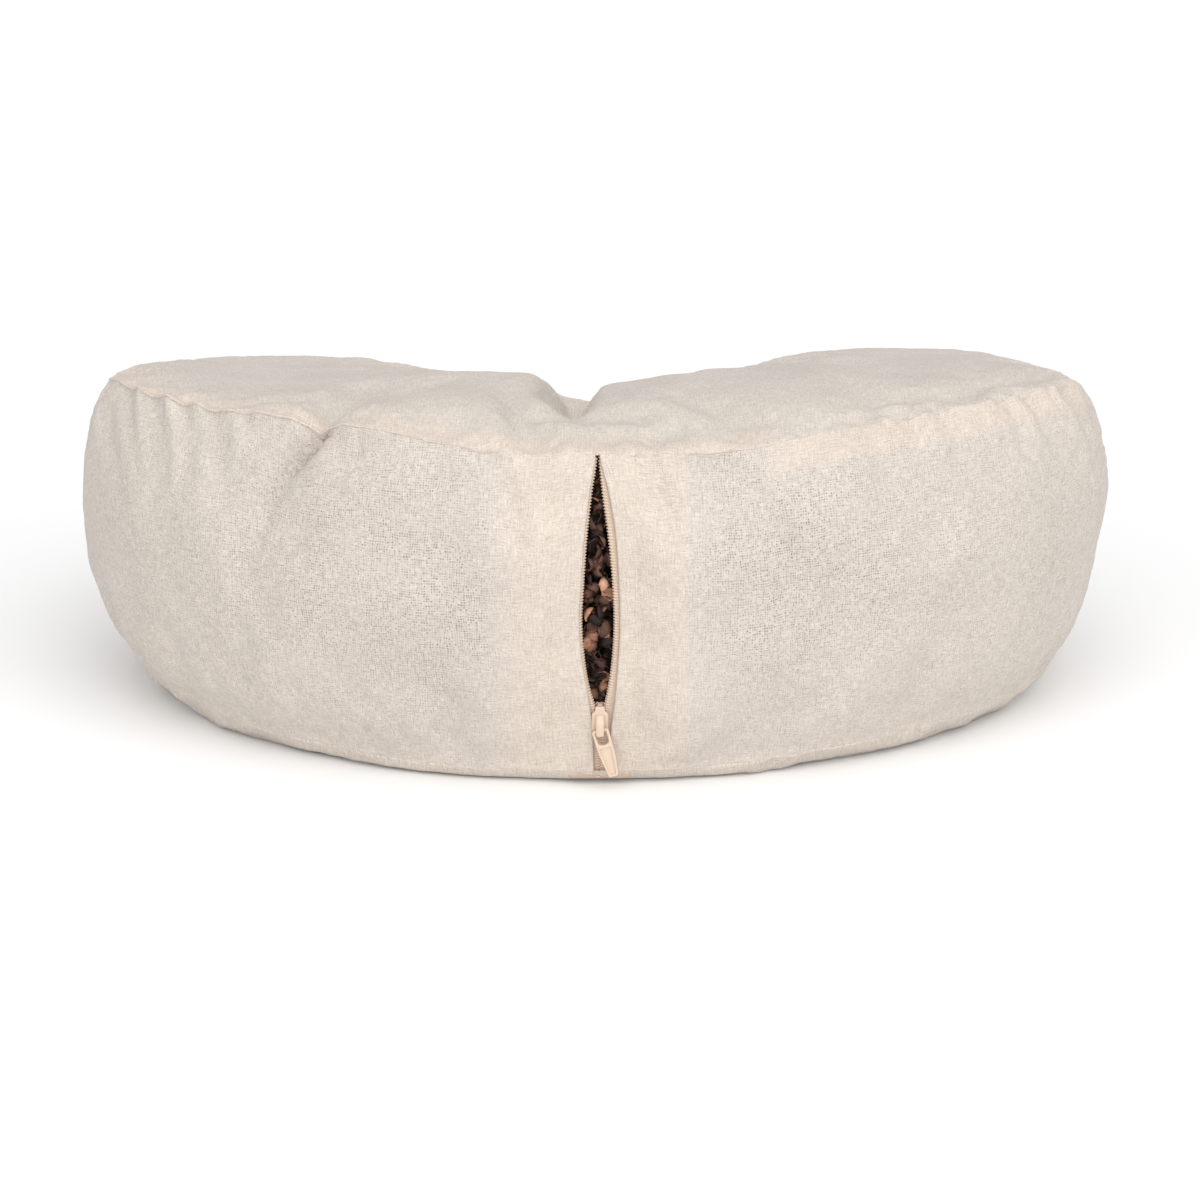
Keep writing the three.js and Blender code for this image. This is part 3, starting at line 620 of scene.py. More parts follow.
# %% Large folds
folds = [
    # the deep crease that comes over the top of the left lobe, crosses the seam and runs down to the left
    {"line": [(-98, 90, 146), (-103, 60, 149), (-107, 36, 150), (-109, 20, 142)],
     "deep": (1.5, 10.0), "wide": 5.5, "sharp": 1.2},
    {"line": [(-110, 24, 144), (-110, 19, 141), (-117, 19, 133), (-124, 20, 123), (-133, 21, 108)],
     "deep": (15.0, 7.0), "wide": 4.8, "sharp": 1.0},
    {"line": [(-131, 21, 111), (-136, 22, 98), (-138, 22, 84)], "deep": (5.0, 0.8), "wide": 6},
    {"line": [(-112, 20, 138), (-125, 20, 120), (-144, 22, 92)], "deep": (5.0, 1.5), "wide": 13},
    # puckers of the band under the top seam at the left tip
    {"line": [(-203, 104, 139), (-199, 84, 122), (-196, 70, 100)], "deep": (2.6, 0.4), "wide": 6},
    {"line": [(-195, 88, 141), (-190, 72, 126), (-187, 64, 114)], "deep": (3.4, 0.4), "wide": 4.5},
    {"line": [(-183, 71, 143), (-179, 58, 126), (-177, 52, 104)], "deep": (4.2, 0.4), "wide": 5},
    {"line": [(-167, 60, 143), (-164, 48, 131), (-163, 44, 118)], "deep": (4.8, 0.5), "wide": 4.2},
    {"line": [(-155, 46, 144), (-152, 38, 132), (-148, 34, 112)], "deep": (3.0, 0.6), "wide": 6},
    {"line": [(-141, 36, 143), (-137, 30, 136), (-135, 26, 126)], "deep": (2.4, 0.4), "wide": 4},
    # the left lobe falls to the flat over the zip
    {"line": [(-38, 90, 142), (-35, 60, 142), (-29, 24, 141), (-26, 6, 139)], "deep": (1.2, 3.8), "wide": 7},
    {"line": [(-44, 3, 139), (-40, 1, 134), (-33, -3, 121)], "deep": (3.4, 0.6), "wide": 5},
    # the hollow behind the lip over the zip
    {"line": [(-24, 40, 142), (-8, 33, 143), (14, 36, 142)], "deep": (3.4, 1.0), "wide": 7},
    {"line": [(-18, 74, 141), (-14, 105, 138), (-11, 140, 128)], "deep": (3.5, 2.0), "wide": 8},
    # the slanting drag line right of the zip, and the pleat beside the zip's top
    {"line": [(45, 3, 134), (56, 1, 124), (70, -1, 110)], "deep": (4.0, 1.0), "wide": 4.5, "sharp": 1.3},
    {"line": [(37, 1, 134), (47, -2, 122), (58, -6, 108)], "deep": (2.6, 0.6), "wide": 5},
    {"line": [(13, 1, 137), (16, -3, 128)], "deep": (2.0, 0.3), "wide": 3},
    # pleats under the top seam of the right lobe
    {"line": [(105, 22, 149), (112, 18, 137), (115, 16, 127)], "deep": (3.0, 0.6), "wide": 4.5},
    {"line": [(120, 31, 152), (125, 27, 147), (134, 24, 127)], "deep": (6.5, 1.2), "wide": 4, "sharp": 1.2},
    {"line": [(136, 36, 151), (141, 32, 142), (147, 31, 126)], "deep": (4.5, 0.8), "wide": 4, "sharp": 1.2},
    {"line": [(165, 56, 149), (170, 56, 138), (173, 55, 127)], "deep": (4.0, 0.8), "wide": 4, "sharp": 1.2},
    {"line": [(172, 67, 152), (177, 65, 147), (191, 70, 122)], "deep": (7.5, 1.2), "wide": 4, "sharp": 1.1},
    {"line": [(196, 88, 143), (200, 92, 135), (203, 92, 122)], "deep": (4.0, 0.8), "wide": 4.5},
    # pinches of the bottom seam
    {"line": [(-197, 108, 22), (-196, 101, 32), (-197, 98, 46)], "deep": (3.0, 0.3), "wide": 6},
    {"line": [(-169, 67, 12), (-168, 60, 24), (-170, 56, 40)], "deep": (3.0, 0.3), "wide": 6},
    {"line": [(71, 12, 6), (72, 6, 16), (73, 2, 30)], "deep": (2.4, 0.3), "wide": 4},
    {"line": [(130, 34, 11), (131, 28, 20), (133, 24, 34)], "deep": (3.2, 0.3), "wide": 5},
    {"line": [(186, 92, 20), (190, 88, 32)], "deep": (2.6, 0.3), "wide": 5},
]
print("folds", len(folds))

# %% [markdown]
# A measured line is laid on the net first. Then each point near it sinks by the fold's depth, less the
# farther it is from the line, and the cloth two widths away rises by a share of that: the shoulder.

# %% Press the folds in
fold_shoulder, soft_bottom = 0.42, 1.7


def search_tree(places):
    """A tree that finds the points nearest to a place."""
    tree = kdtree.KDTree(len(places))
    for i, place in enumerate(places):
        tree.insert(place, i)
    tree.balance()
    return tree


def on_surface(line, tree, places, steps=14):
    """A measured line, drawn finer and laid on the surface."""
    line = np.array(line, float)
    along_line = np.concatenate([[0], np.cumsum(np.linalg.norm(np.diff(line, axis=0), axis=1))])
    at = np.linspace(0, along_line[-1], steps)
    drawn = np.stack([np.interp(at, along_line, line[:, k]) for k in range(3)], -1)
    laid = np.array([np.mean([places[i] for _, i, _ in tree.find_n(place, 4)], axis=0) for place in drawn])
    for _ in range(3):
        laid[1:-1] = (laid[:-2] + 2 * laid[1:-1] + laid[2:]) / 4
    return laid


def fold_depth(places):
    """How far each place sinks into the folds, and how much of it belongs to one."""
    sunk, raised, mask = (np.zeros(len(places)) for _ in range(3))
    tree = search_tree(places)
    for fold in folds:
        line = on_surface(fold["line"], tree, places)
        distance, where = to_segments(places, line)
        share = where / np.linalg.norm(np.diff(line, axis=0), axis=1).sum()
        deep = fold["deep"][0] * (1 - share) + fold["deep"][1] * share
        width = fold["wide"]
        valley_part = np.exp(-((np.hypot(distance, 0.4) / width) ** fold.get("sharp", soft_bottom)))
        shoulder_part = np.exp(-(((distance - 2.1 * width) / (0.8 * width)) ** 2))
        sunk = np.maximum(sunk, deep * valley_part)
        raised = np.maximum(raised, deep * shoulder_part)
        mask = np.maximum(mask, valley_part * np.minimum(deep / 2, 1))
    return sunk - fold_shoulder * raised * np.exp(-sunk), mask


fold_way = soften(plain_normals, points, 7.0)
sunk, in_fold = fold_depth(points)
folded = points - fold_way * sunk[:, None]
folded[:, 2] = np.maximum(folded[:, 2], 0)
print("deepest fold", round(float(sunk.max()), 1), "mm")

# %% [markdown]
# ## Distance from the seams
#
# Much of what follows depends on how near a place is to a seam: the ditch of the seam, the puckers that
# fan out from it, and the second layer of cloth that lies turned in behind it.

# %% Seam lines
top_seam = folded[np.concatenate([numbers["front"][:, -1], numbers["rear"][::-1, -1]])]
bottom_seam = folded[np.concatenate([numbers["front"][:, 0], numbers["rear"][::-1, 0]])]
from_top_seam, along_top_seam = to_segments(folded, top_seam)
from_bottom_seam, along_bottom_seam = to_segments(folded, bottom_seam)
from_seam = np.minimum(from_top_seam, from_bottom_seam)
print("top seam", round(along_top_seam.max()), "mm round, bottom seam", round(along_bottom_seam.max()))

# %% [markdown]
# ## Stuffing
#
# A filled cover is cloth under pressure. Blender's cloth solver shows how the panels swell between
# seams that are held a little short. The shape is already close, so no point may move far: the
# simulation adds the small uneven swellings and drags that are hard to draw. It runs on an even mesh of
# 5 mm squares, which a Remesh modifier makes.

# %% Even mesh
voxel = 0.005


def baked_mesh(holder, name):
    """The plain mesh that an object's modifiers make. The object itself goes."""
    mesh = bpy.data.meshes.new_from_object(holder.evaluated_get(bpy.context.evaluated_depsgraph_get()))
    holder.modifiers.clear()
    bpy.data.objects.remove(holder)
    mesh.name = name
    return mesh


def even_mesh(name, places):
    """The whole cover, with its points at the given places in millimetres, as an even mesh."""
    net = bpy.data.meshes.new(name + "_net")
    net.from_pydata(to_model(places).tolist(), [], whole)
    holder = put(name + "_net", net)
    remesh = holder.modifiers.new("remesh", "REMESH")
    remesh.mode, remesh.voxel_size = "VOXEL", voxel
    return baked_mesh(holder, name)


def coordinates(mesh):
    return np.array([vertex.co for vertex in mesh.vertices])


print("squares of", voxel * 1000, "mm")

# %% [markdown]
# Where a whole region swells alike, the measured curves already hold that swelling, so it is taken out
# again. What is left is limited softly to 4.5 mm.


# %% What a region shares
region = 40.0


def even_out(places, moved, size=region):
    """The swelling that whole regions share: the mean in blocks, read smoothly between them."""
    _, member = np.unique(np.floor(places / size), axis=0, return_inverse=True)
    member = member.ravel()
    counts = np.bincount(member)[:, None]
    centres = np.stack([np.bincount(member, places[:, k]) for k in range(3)], -1) / counts
    means = np.bincount(member, moved[:, 0])[:, None] / counts
    apart = np.linalg.norm(places[:, None] - centres[None], axis=2)
    weights = np.exp(-((apart / (0.7 * size)) ** 2)) * counts.T
    return weights @ means / weights.sum(1, keepdims=True)


print("regions of", region, "mm")

# %% [markdown]
# The seams shrink a little, as thread does under its pull, and the panels between them are given 3.5 % more
# cloth. The table and the zip hold their places firmly, and the seams hold theirs loosely. The filling
# carries the cloth, so gravity is set to nothing.

# %% Cloth simulation
frames, most_moved = 20, 0.0045
seam_pull, zip_hold = 9.0, {"x": (-15, 17), "y": (-50, 20), "z": (4, 142)}
cloth_settings = {
    "quality": 6, "mass": 0.25,
    "tension_stiffness": 20, "compression_stiffness": 20, "bending_stiffness": 0.2,
    "use_pressure": True, "uniform_pressure_force": 3.5, "shrink_min": -0.035, "shrink_max": 0.03,
}


def held_weight(place, from_seam):
    """How firmly the cloth is held at a place: on the table and at the zip, and loosely at a seam."""
    at_zip = all(low < value < high for value, (low, high) in zip(place, zip_hold.values()))
    if at_zip or place[2] < 1:
        return 1.0
    return 0.35 if from_seam < 4 else 0.0


def simulate_stuffing():
    """Places on the even mesh, and how far each one moves as the cover is stuffed, in millimetres."""
    even = even_mesh("stuffing_trial", folded)
    trial = put("stuffing_trial", even)
    rest = coordinates(even)
    rest_mm = rest * 1000 - zip_foot
    near_seam = np.minimum(*(to_segments(rest_mm, seam[::3])[0] for seam in (top_seam, bottom_seam)))
    short = trial.vertex_groups.new(name="short_seams")
    held = trial.vertex_groups.new(name="held")
    for i, (distance, place) in enumerate(zip(near_seam, rest_mm)):
        short.add([i], float(np.exp(-((distance / seam_pull) ** 2))), "REPLACE")
        held.add([i], held_weight(place, distance), "REPLACE")
    cloth = trial.modifiers.new("cloth", "CLOTH")
    for name, value in cloth_settings.items():
        setattr(cloth.settings, name, value)
    cloth.settings.effector_weights.gravity = 0
    cloth.settings.vertex_group_mass = held.name
    cloth.settings.vertex_group_shrink = short.name
    cloth.collision_settings.use_collision = False
    cloth.point_cache.frame_end = frames + 1
    for step in range(1, frames + 1):
        scene.frame_set(step)
    moved = coordinates(trial.evaluated_get(bpy.context.evaluated_depsgraph_get()).data) - rest
    scene.frame_set(1)
    bpy.data.objects.remove(trial)
    length = np.linalg.norm(moved, axis=1, keepdims=True)
    print("stuffing moved", len(rest), "points, mean", round(float(length.mean()) * 1000, 2),
          "mm, most", round(float(length.max()) * 1000, 2), "mm")
    facing = np.array([vertex.normal for vertex in even.vertices])
    outward = (moved * facing).sum(1, keepdims=True)
    moved -= even_out(rest_mm, outward) * facing
    length = np.linalg.norm(moved, axis=1, keepdims=True)
    moved *= most_moved / np.maximum(length, 1e-9) * np.tanh(length / most_moved)
    return rest_mm, moved * 1000


print("cloth settings", cloth_settings)

# %% [markdown]
# The movement is carried over to the finer net: each point takes the mean of its six nearest ones, the
# nearer the more. Inside a fold most of it is left out, since the folds are already as measured.


# %% Carry the movement over
def carry_over(rest, moved, places, neighbours=6):
    tree = search_tree(rest)
    carried = np.zeros_like(places)
    for i, place in enumerate(places):
        near = tree.find_n(place, neighbours)
        weights = np.array([1 / (0.3 + distance) for _, _, distance in near])
        carried[i] = weights @ moved[[j for _, j, _ in near]] / weights.sum()
    return carried


stuffed = folded + carry_over(*simulate_stuffing(), folded) * (1 - 0.7 * in_fold)[:, None]
stuffed[:, 2] = np.maximum(stuffed[:, 2], 0)
print("stuffing carried to", len(stuffed), "points")

# %% [markdown]
# ## Relief of the cloth
#
# The fine forms are still to be added. At a seam the cloth turns in and leaves a ditch. Beside it the cloth
# puckers, more where it had to be eased round a tight curve. Where a seam allowance or a hem lies behind,
# the cloth stands a little proud, and a line of stitches presses a groove into it. The hulls inside press it
# out in small lumps, and low on the front it is drawn into slanting wrinkles. All of them are uneven, and
# smooth noise gives that.


# %% Smooth noise
def lumps(places, size, seed):
    """Smooth noise from about -1 to 1, with features of the given size in millimetres."""
    shift = Vector((seed * 17.3, seed * 5.1, seed * 9.7))
    return np.array([noise.noise(Vector(p) / size + shift) for p in places]) * 1.6


def ripples(distances, size, seed):
    """The same noise along a line."""
    return lumps(np.stack([distances, 0 * distances, 0 * distances], -1), size, seed)


print("ripples", ripples(np.arange(0.0, 30.0, 10.0), 9, 5).round(2).tolist())

# %% [markdown]
# The allowance of the top seam lies under the top panel, but right of the zip it is pressed down behind the
# band. Both hems beside the zip are about 35 mm wide. Their edges wander a little, as they do behind cloth.

# %% Where the cloth is double
allowance, hem_left, hem_right = 13.0, -34.0, 35.5
back_of_front = 160.0
on_front, on_band, on_top = (np.zeros(len(points), bool) for _ in range(3))
on_front[numbers["front"].ravel()] = True
on_band[numbers["front"].ravel()] = on_band[numbers["rear"].ravel()] = True
on_top[numbers["top"].ravel()] = True
x, y, z = stuffed.T

pressed_down = smoothstep(x, 60, 76) * (y < back_of_front)
edge_wander = 1.6 * ripples(along_top_seam, 22, 3)
allowance_top = 1 - smoothstep(from_top_seam + edge_wander, allowance - 2.0, allowance + 1.5)
doubled_top = allowance_top * np.where(on_top, 1 - pressed_down, np.where(on_band, pressed_down, 0))
hem_wander = 2.2 * ripples(z, 24, 11)
hem_starts = smoothstep(x + hem_wander, hem_left - 13, hem_left + 9)
hem = hem_starts * (1 - smoothstep(x, hem_right - 1, hem_right + 1))
doubled_bottom = 0.6 * (1 - smoothstep(from_bottom_seam, 7, 10)) * ~on_band
doubled = np.maximum.reduce([doubled_top, hem * on_front, doubled_bottom])
print("double cloth at", int((doubled > 0.5).sum()), "of", len(doubled), "points")

# %% [markdown]
# Each hem is stitched down along a line that bends a little. The groove under it comes here, and the stitches
# themselves come after the zip.


# %% Stitch lines
def stitch_line(side, height):
    """Distance across at which a hem's line of stitches runs."""
    return -17.5 - 1.2 * np.sin(height / 44) if side < 0 else 14.5 + 1.0 * np.sin(height / 38)


groove = sum(np.exp(-(((x - stitch_line(side, z)) / 1.7) ** 2)) for side in (-1, 1)) * on_front
print("stitches at x", [round(float(stitch_line(side, 70.0)), 1) for side in (-1, 1)], "mm, halfway up")

# %% [markdown]
# The band is most gathered round the left tip, and less at the right lobe and at the rear. Puckers fan out
# from both seams and fade within about 2 cm. Nothing moves where the base lies on the table.

# %% Ditch, puckers and lumps
left_tip = smoothstep(-x, 95, 150) * (y < 175)
right_lobe = smoothstep(x, 85, 120) * (y < 175)
rear_side = smoothstep(y, 150, 190)
gathered = 0.25 + 0.75 * left_tip + 0.35 * right_lobe + 0.55 * rear_side
top_puckers = ripples(along_top_seam, 9, 5) + 0.6 * ripples(along_top_seam, 4.5, 6)
bottom_puckers = ripples(along_bottom_seam, 11, 7) + 0.5 * ripples(along_bottom_seam, 5, 8)
fan_top = np.exp(-from_top_seam / 11) * (1 - np.exp(-from_top_seam / 2.5))
fan_bottom = np.exp(-from_bottom_seam / 9) * (1 - np.exp(-from_bottom_seam / 2.5))
puckers = 1.1 * gathered * (top_puckers * fan_top + 0.8 * bottom_puckers * fan_bottom)
ditch = 0.6 * np.exp(-((from_top_seam / 1.2) ** 2)) + 0.25 * np.exp(-((from_bottom_seam / 1.0) ** 2))
at_floor = 1 - smoothstep(z, 0.2, 2.5)
lump = 0.5 * lumps(stuffed, 34, 1) + 0.22 * lumps(stuffed, 11, 2) + 0.1 * lumps(stuffed, 5.5, 4)
slanted = np.stack([0.75 * x + 0.66 * z, (0.66 * x - 0.75 * z) * 0.2, y * 0.2], -1)
drag = 0.22 * lumps(slanted, 7.5, 9) * on_front * (1 - smoothstep(z, 45, 95))
relief = (0.3 * doubled + puckers + lump + drag - 0.4 * groove) * (1 - at_floor) - ditch
relief_way = soften(plain_normals, points, 2.5)
outside = stuffed + relief_way * relief[:, None]
outside[:, 2] = np.maximum(outside[:, 2], 0)
print("relief from", round(float(relief.min()), 2), "to", round(float(relief.max()), 2), "mm")

# %% [markdown]
# ## Calico
#
# Calico is unbleached, plain woven cotton. Its threads are uneven, so each shows as a fine streak, and
# bits of seed husk are left in as brown specks. One layer of it is thin: where hulls lie close behind,
# the gaps between the threads show as a grid of grey dots. Two layers look creamier and closed.
#
# The real threads lie about 0.5 mm apart, about one pixel here. They are drawn 1 mm apart, so that
# the weave still shows. The pattern follows the cloth through a UV map that holds metres along the weft
# and the warp. Two cosine waves across each other are highest in the gaps between threads, and each gap is
# open by a share of its own.

# %% Gaps between the threads
thread_spacing_mm, thread_wander_mm = 1.0, 2.4


def bend_threads(tree, mm):
    """Lets the threads wander from their straight lines, as woven ones do."""
    wander = add_node(tree, "ShaderNodeTexNoise", {"Vector": mm, "Scale": 0.12, "Detail": 2.0})
    off_centre = add_node(tree, "ShaderNodeVectorMath", {0: wander.outputs["Color"], 1: (0.5, 0.5, 0.5)},
                          operation="SUBTRACT")
    reach = (thread_wander_mm, thread_wander_mm, 0)
    bent = add_node(tree, "ShaderNodeVectorMath", {0: off_centre.outputs[0], 1: reach, 2: mm},
                    operation="MULTIPLY_ADD")
    return bent.outputs[0]


def open_gaps(tree, bent):
    """How open the cloth is at each place: 0 on a thread, up to 1 in a gap."""
    counted = add_node(tree, "ShaderNodeVectorMath", {0: bent, "Scale": 1 / thread_spacing_mm},
                       operation="SCALE").outputs[0]
    phase = add_node(tree, "ShaderNodeVectorMath", {0: counted, "Scale": 2 * math.pi}, operation="SCALE")
    wave = add_node(tree, "ShaderNodeVectorMath", {0: phase.outputs[0]}, operation="COSINE")
    parts = add_node(tree, "ShaderNodeSeparateXYZ", {0: wave.outputs[0]})
    weft, warp = (add_node(tree, "ShaderNodeMath", {0: parts.outputs[axis], 1: 0.5, 2: 0.5},
                           operation="MULTIPLY_ADD").outputs[0] for axis in (0, 1))
    gap = add_node(tree, "ShaderNodeMath", {0: weft, 1: warp}, operation="MULTIPLY")
    shifted = add_node(tree, "ShaderNodeVectorMath", {0: counted, 1: (0.5, 0.5, 0.5)})
    crossing = add_node(tree, "ShaderNodeVectorMath", {0: shifted.outputs[0]}, operation="FLOOR")
    chance = add_node(tree, "ShaderNodeTexWhiteNoise", {"Vector": crossing.outputs[0]}, noise_dimensions="2D")
    share = add_node(tree, "ShaderNodeMapRange", {"Value": chance.outputs["Value"], "From Min": 0.15,
                                                  "From Max": 1.0})
    opened = add_node(tree, "ShaderNodeMath", {0: gap.outputs[0], 1: share.outputs[0]}, operation="MULTIPLY")
    return opened.outputs[0]


print("threads", thread_spacing_mm, "mm apart")

# %% [markdown]
# Uneven thickness shows as streaks about as wide as a thread: long ones along the warp, long ones along the
# weft, and short slubs. Each set is noise that is stretched one way.

# %% Uneven threads
# width and length of each set of streaks in millimetres, and the slice of noise that gives it
streak_sets = ((0.6, 5, 3), (4.5, 0.6, 9), (0.55, 0.55, 5))


def uneven_threads(tree, bent):
    """How thick the threads are at each place: the three sets of streaks, added up."""
    streaks = []
    for across, lengthwise, seed in streak_sets:
        drawn = add_node(tree, "ShaderNodeVectorMath", {0: bent, 1: (1 / across, 1 / lengthwise, 1),
                                                        2: (0, 0, seed)}, operation="MULTIPLY_ADD")
        streaks.append(add_node(tree, "ShaderNodeTexNoise", {"Vector": drawn.outputs[0], "Scale": 1.0,
                                                             "Detail": 1.0, "Roughness": 0.5}))
    both = add_node(tree, "ShaderNodeMath", {0: streaks[0].outputs[0], 1: streaks[1].outputs[0]},
                    operation="ADD")
    total = add_node(tree, "ShaderNodeMath", {0: both.outputs[0], 1: streaks[2].outputs[0]}, operation="ADD")
    return total.outputs[0]


print("streaks", streak_sets)

# %% [markdown]
# One layer of cloth greys a little where hulls lie close behind it, and two layers are cream. Over that the
# uneven threads lighten and darken it, and the gaps let the dark inside through.

# %% Colour of the cloth
single_colour, near_hulls_colour, doubled_colour, gap_colour = "#CDC4BB", "#CBC2B9", "#D1C5B9", "#6A5038"


def cloth_colour(tree, mm, gaps, threads):
    near = add_node(tree, "ShaderNodeAttribute", attribute_name="hulls_near")
    patchy = add_node(tree, "ShaderNodeTexNoise", {"Vector": mm, "Scale": 0.06, "Detail": 3.0})
    patch = add_node(tree, "ShaderNodeMapRange", {"Value": patchy.outputs[0], "From Min": 0.1,
                                                  "From Max": 0.6})
    thin = add_node(tree, "ShaderNodeMath", {0: near.outputs["Fac"], 1: patch.outputs[0]},
                    operation="MULTIPLY").outputs[0]
    single = add_node(tree, "ShaderNodeMix", {"Factor": thin, "A": linear(single_colour),
                                              "B": linear(near_hulls_colour)}, data_type="RGBA")
    twofold = add_node(tree, "ShaderNodeAttribute", attribute_name="doubled")
    cloth = add_node(tree, "ShaderNodeMix", {"Factor": twofold.outputs["Fac"], "A": single.outputs["Result"],
                                             "B": linear(doubled_colour)}, data_type="RGBA")
    blotches = add_node(tree, "ShaderNodeTexNoise", {"Vector": mm, "Scale": 0.03, "Detail": 3.0})
    mottled = add_node(tree, "ShaderNodeMath", {0: blotches.outputs[0], 1: 0.5, 2: threads},
                       operation="MULTIPLY_ADD")
    shade = add_node(tree, "ShaderNodeMapRange", {"Value": mottled.outputs[0], "From Min": 1.2,
                                                  "From Max": 2.3, "To Min": 0.75, "To Max": 1.21})
    streaked = add_node(tree, "ShaderNodeVectorMath", {0: cloth.outputs["Result"], "Scale": shade.outputs[0]},
                        operation="SCALE")
    see_through = add_node(tree, "ShaderNodeMath", {0: thin, 1: 0.85, 2: 0.14}, operation="MULTIPLY_ADD")
    dark = add_node(tree, "ShaderNodeMath", {0: gaps, 1: see_through.outputs[0]}, operation="MULTIPLY")
    gapped = add_node(tree, "ShaderNodeMix", {"Factor": dark.outputs[0], "A": streaked.outputs[0],
                                              "B": linear(gap_colour)}, data_type="RGBA")
    return gapped.outputs["Result"]


print("single cloth", single_colour, "and double cloth", doubled_colour)

# %% [markdown]
# Bits of seed husk lie scattered in the yarn. Each cell of 9 mm may hold one, half of them do, and they are
# of uneven size, up to 0.9 mm across.

# %% Husk specks
speck_spacing_mm, speck_colour = 9.0, "#7A5A3C"


def with_specks(tree, mm, cloth):
    cell = add_node(tree, "ShaderNodeTexVoronoi", {"Vector": mm, "Scale": 1 / speck_spacing_mm,
                                                   "Randomness": 1.0})
    tone = add_node(tree, "ShaderNodeSeparateColor", {0: cell.outputs["Color"]})
    size = add_node(tree, "ShaderNodeMapRange", {"Value": tone.outputs[0], "From Min": 0.5, "From Max": 1.0,
                                                 "To Min": 0.0, "To Max": 0.05})
    speck = add_node(tree, "ShaderNodeMath", {0: cell.outputs["Distance"], 1: size.outputs[0]},
                     operation="LESS_THAN")
    strength = add_node(tree, "ShaderNodeMath", {0: speck.outputs[0], 1: 0.5}, operation="MULTIPLY")
    specked = add_node(tree, "ShaderNodeMix", {"Factor": strength.outputs[0], "A": cloth,
                                               "B": linear(speck_colour)}, data_type="RGBA")
    return specked.outputs["Result"]


print("specks", speck_spacing_mm, "mm apart")

# %% [markdown]
# Cotton fibre has an IOR of about 1.5. Cloth of it has no gloss, so its roughness is high and its mirror
# part low, and its fuzz gives a soft sheen at a glance along the surface. Threads and fine crumples are too
# small for the mesh, so they are a bump of 0.2 mm.


# %% Calico material
def weave_mm(tree):
    """The place on the flat cloth, in millimetres."""
    uv = add_node(tree, "ShaderNodeUVMap", uv_map="weave")
    mm = add_node(tree, "ShaderNodeVectorMath", {0: uv.outputs[0], "Scale": 1000.0}, operation="SCALE")
    return mm.outputs[0]


def make_calico():
    material, tree, shader = new_material("unbleached_calico", {
        "Roughness": 0.88, "IOR": 1.5, "Specular IOR Level": 0.25,
        "Sheen Weight": 0.12, "Sheen Roughness": 0.5})
    mm = weave_mm(tree)
    bent = bend_threads(tree, mm)
    gaps, threads = open_gaps(tree, bent), uneven_threads(tree, bent)
    colour = with_specks(tree, mm, cloth_colour(tree, mm, gaps, threads))
    tree.links.new(colour, shader.inputs["Base Color"])
    woven = add_node(tree, "ShaderNodeMath", {0: gaps, 1: -0.8, 2: threads}, operation="MULTIPLY_ADD")
    crumple = add_node(tree, "ShaderNodeTexNoise", {"Vector": mm, "Scale": 0.16, "Detail": 3.0,
                                                    "Distortion": 0.6})
    height = add_node(tree, "ShaderNodeMath", {0: crumple.outputs[0], 1: 2.2, 2: woven.outputs[0]},
                      operation="MULTIPLY_ADD")
    bump = add_node(tree, "ShaderNodeBump", {"Height": height.outputs[0], "Distance": 0.00022,
                                             "Strength": 0.75})
    tree.links.new(bump.outputs[0], shader.inputs["Normal"])
    return material


calico = make_calico()
print(calico.name, len(calico.node_tree.nodes), "nodes")

# %% [markdown]
# ## The three cuts of the cover
#
# Each cut is a mesh of its own. It carries the weave's UV map and two attributes: how far the cloth is
# doubled, and how near the hulls are. The panels are laid flat by their plan. The band is laid off round
# the cushion along its middle, and up from the bottom seam at each station.

# %% Band laid flat
band_loop = np.concatenate([numbers["front"], numbers["rear"][-2:0:-1]])
middle = outside[np.append(band_loop[:, middle_row], band_loop[0, middle_row])]
run = np.concatenate([[0], np.cumsum(np.linalg.norm(np.diff(middle, axis=0), axis=1))])
band_round = run[-1]
rise = np.cumsum(np.linalg.norm(np.diff(outside[band_loop], axis=1), axis=2), axis=1)
laid_band = np.zeros((len(outside), 2))
laid_band[band_loop, 0] = run[:-1, None]
laid_band[band_loop[:, 1:], 1] = rise
print("band", round(band_round), "mm round and about", round(rise[:, -1].mean()), "mm tall")

# %% [markdown]
# Where hulls press against a single layer, the gaps between its threads look dark. On the front they do so in
# two patches beside the hems, and more faintly towards the tips.

# %% Where hulls show through
hull_patches = [
    # centre x and height, reach in both, strength
    (-66, 88, 62, 54, 0.8),
    (66, 92, 52, 50, 0.85),
    (150, 85, 70, 50, 0.35),
    (-150, 80, 70, 60, 0.35),
]
hulls_near = np.where(on_top, 0.05, 0.24)
x, y, z = outside.T
for cx, cz, rx, rz, share in hull_patches:
    hulls_near += on_front * share * np.exp(-(((x - cx) / rx) ** 2 + ((z - cz) / rz) ** 2))
beyond_hem = np.maximum(hem_left - x, x - hem_right)
hulls_near = np.clip(hulls_near, 0, 1) * (1 - 0.9 * doubled) * (0.35 + 0.65 * smoothstep(beyond_hem, 0, 16))
print("hulls near from", hulls_near.min().round(2), "to", hulls_near.max().round(2))

# %% [markdown]
# The band's two ends are hemmed: at the slit the cloth rolls round and runs back behind itself. That roll
# is what the eye reads as the thickness of the cloth, so it is drawn: half a circle and a short return.

# %% Rolled hems
hem_return, roll_turns, roll_step = 5.0, np.radians([35, 70, 105, 140, 180]), 0.4
normals = corner_normals(outside, whole)


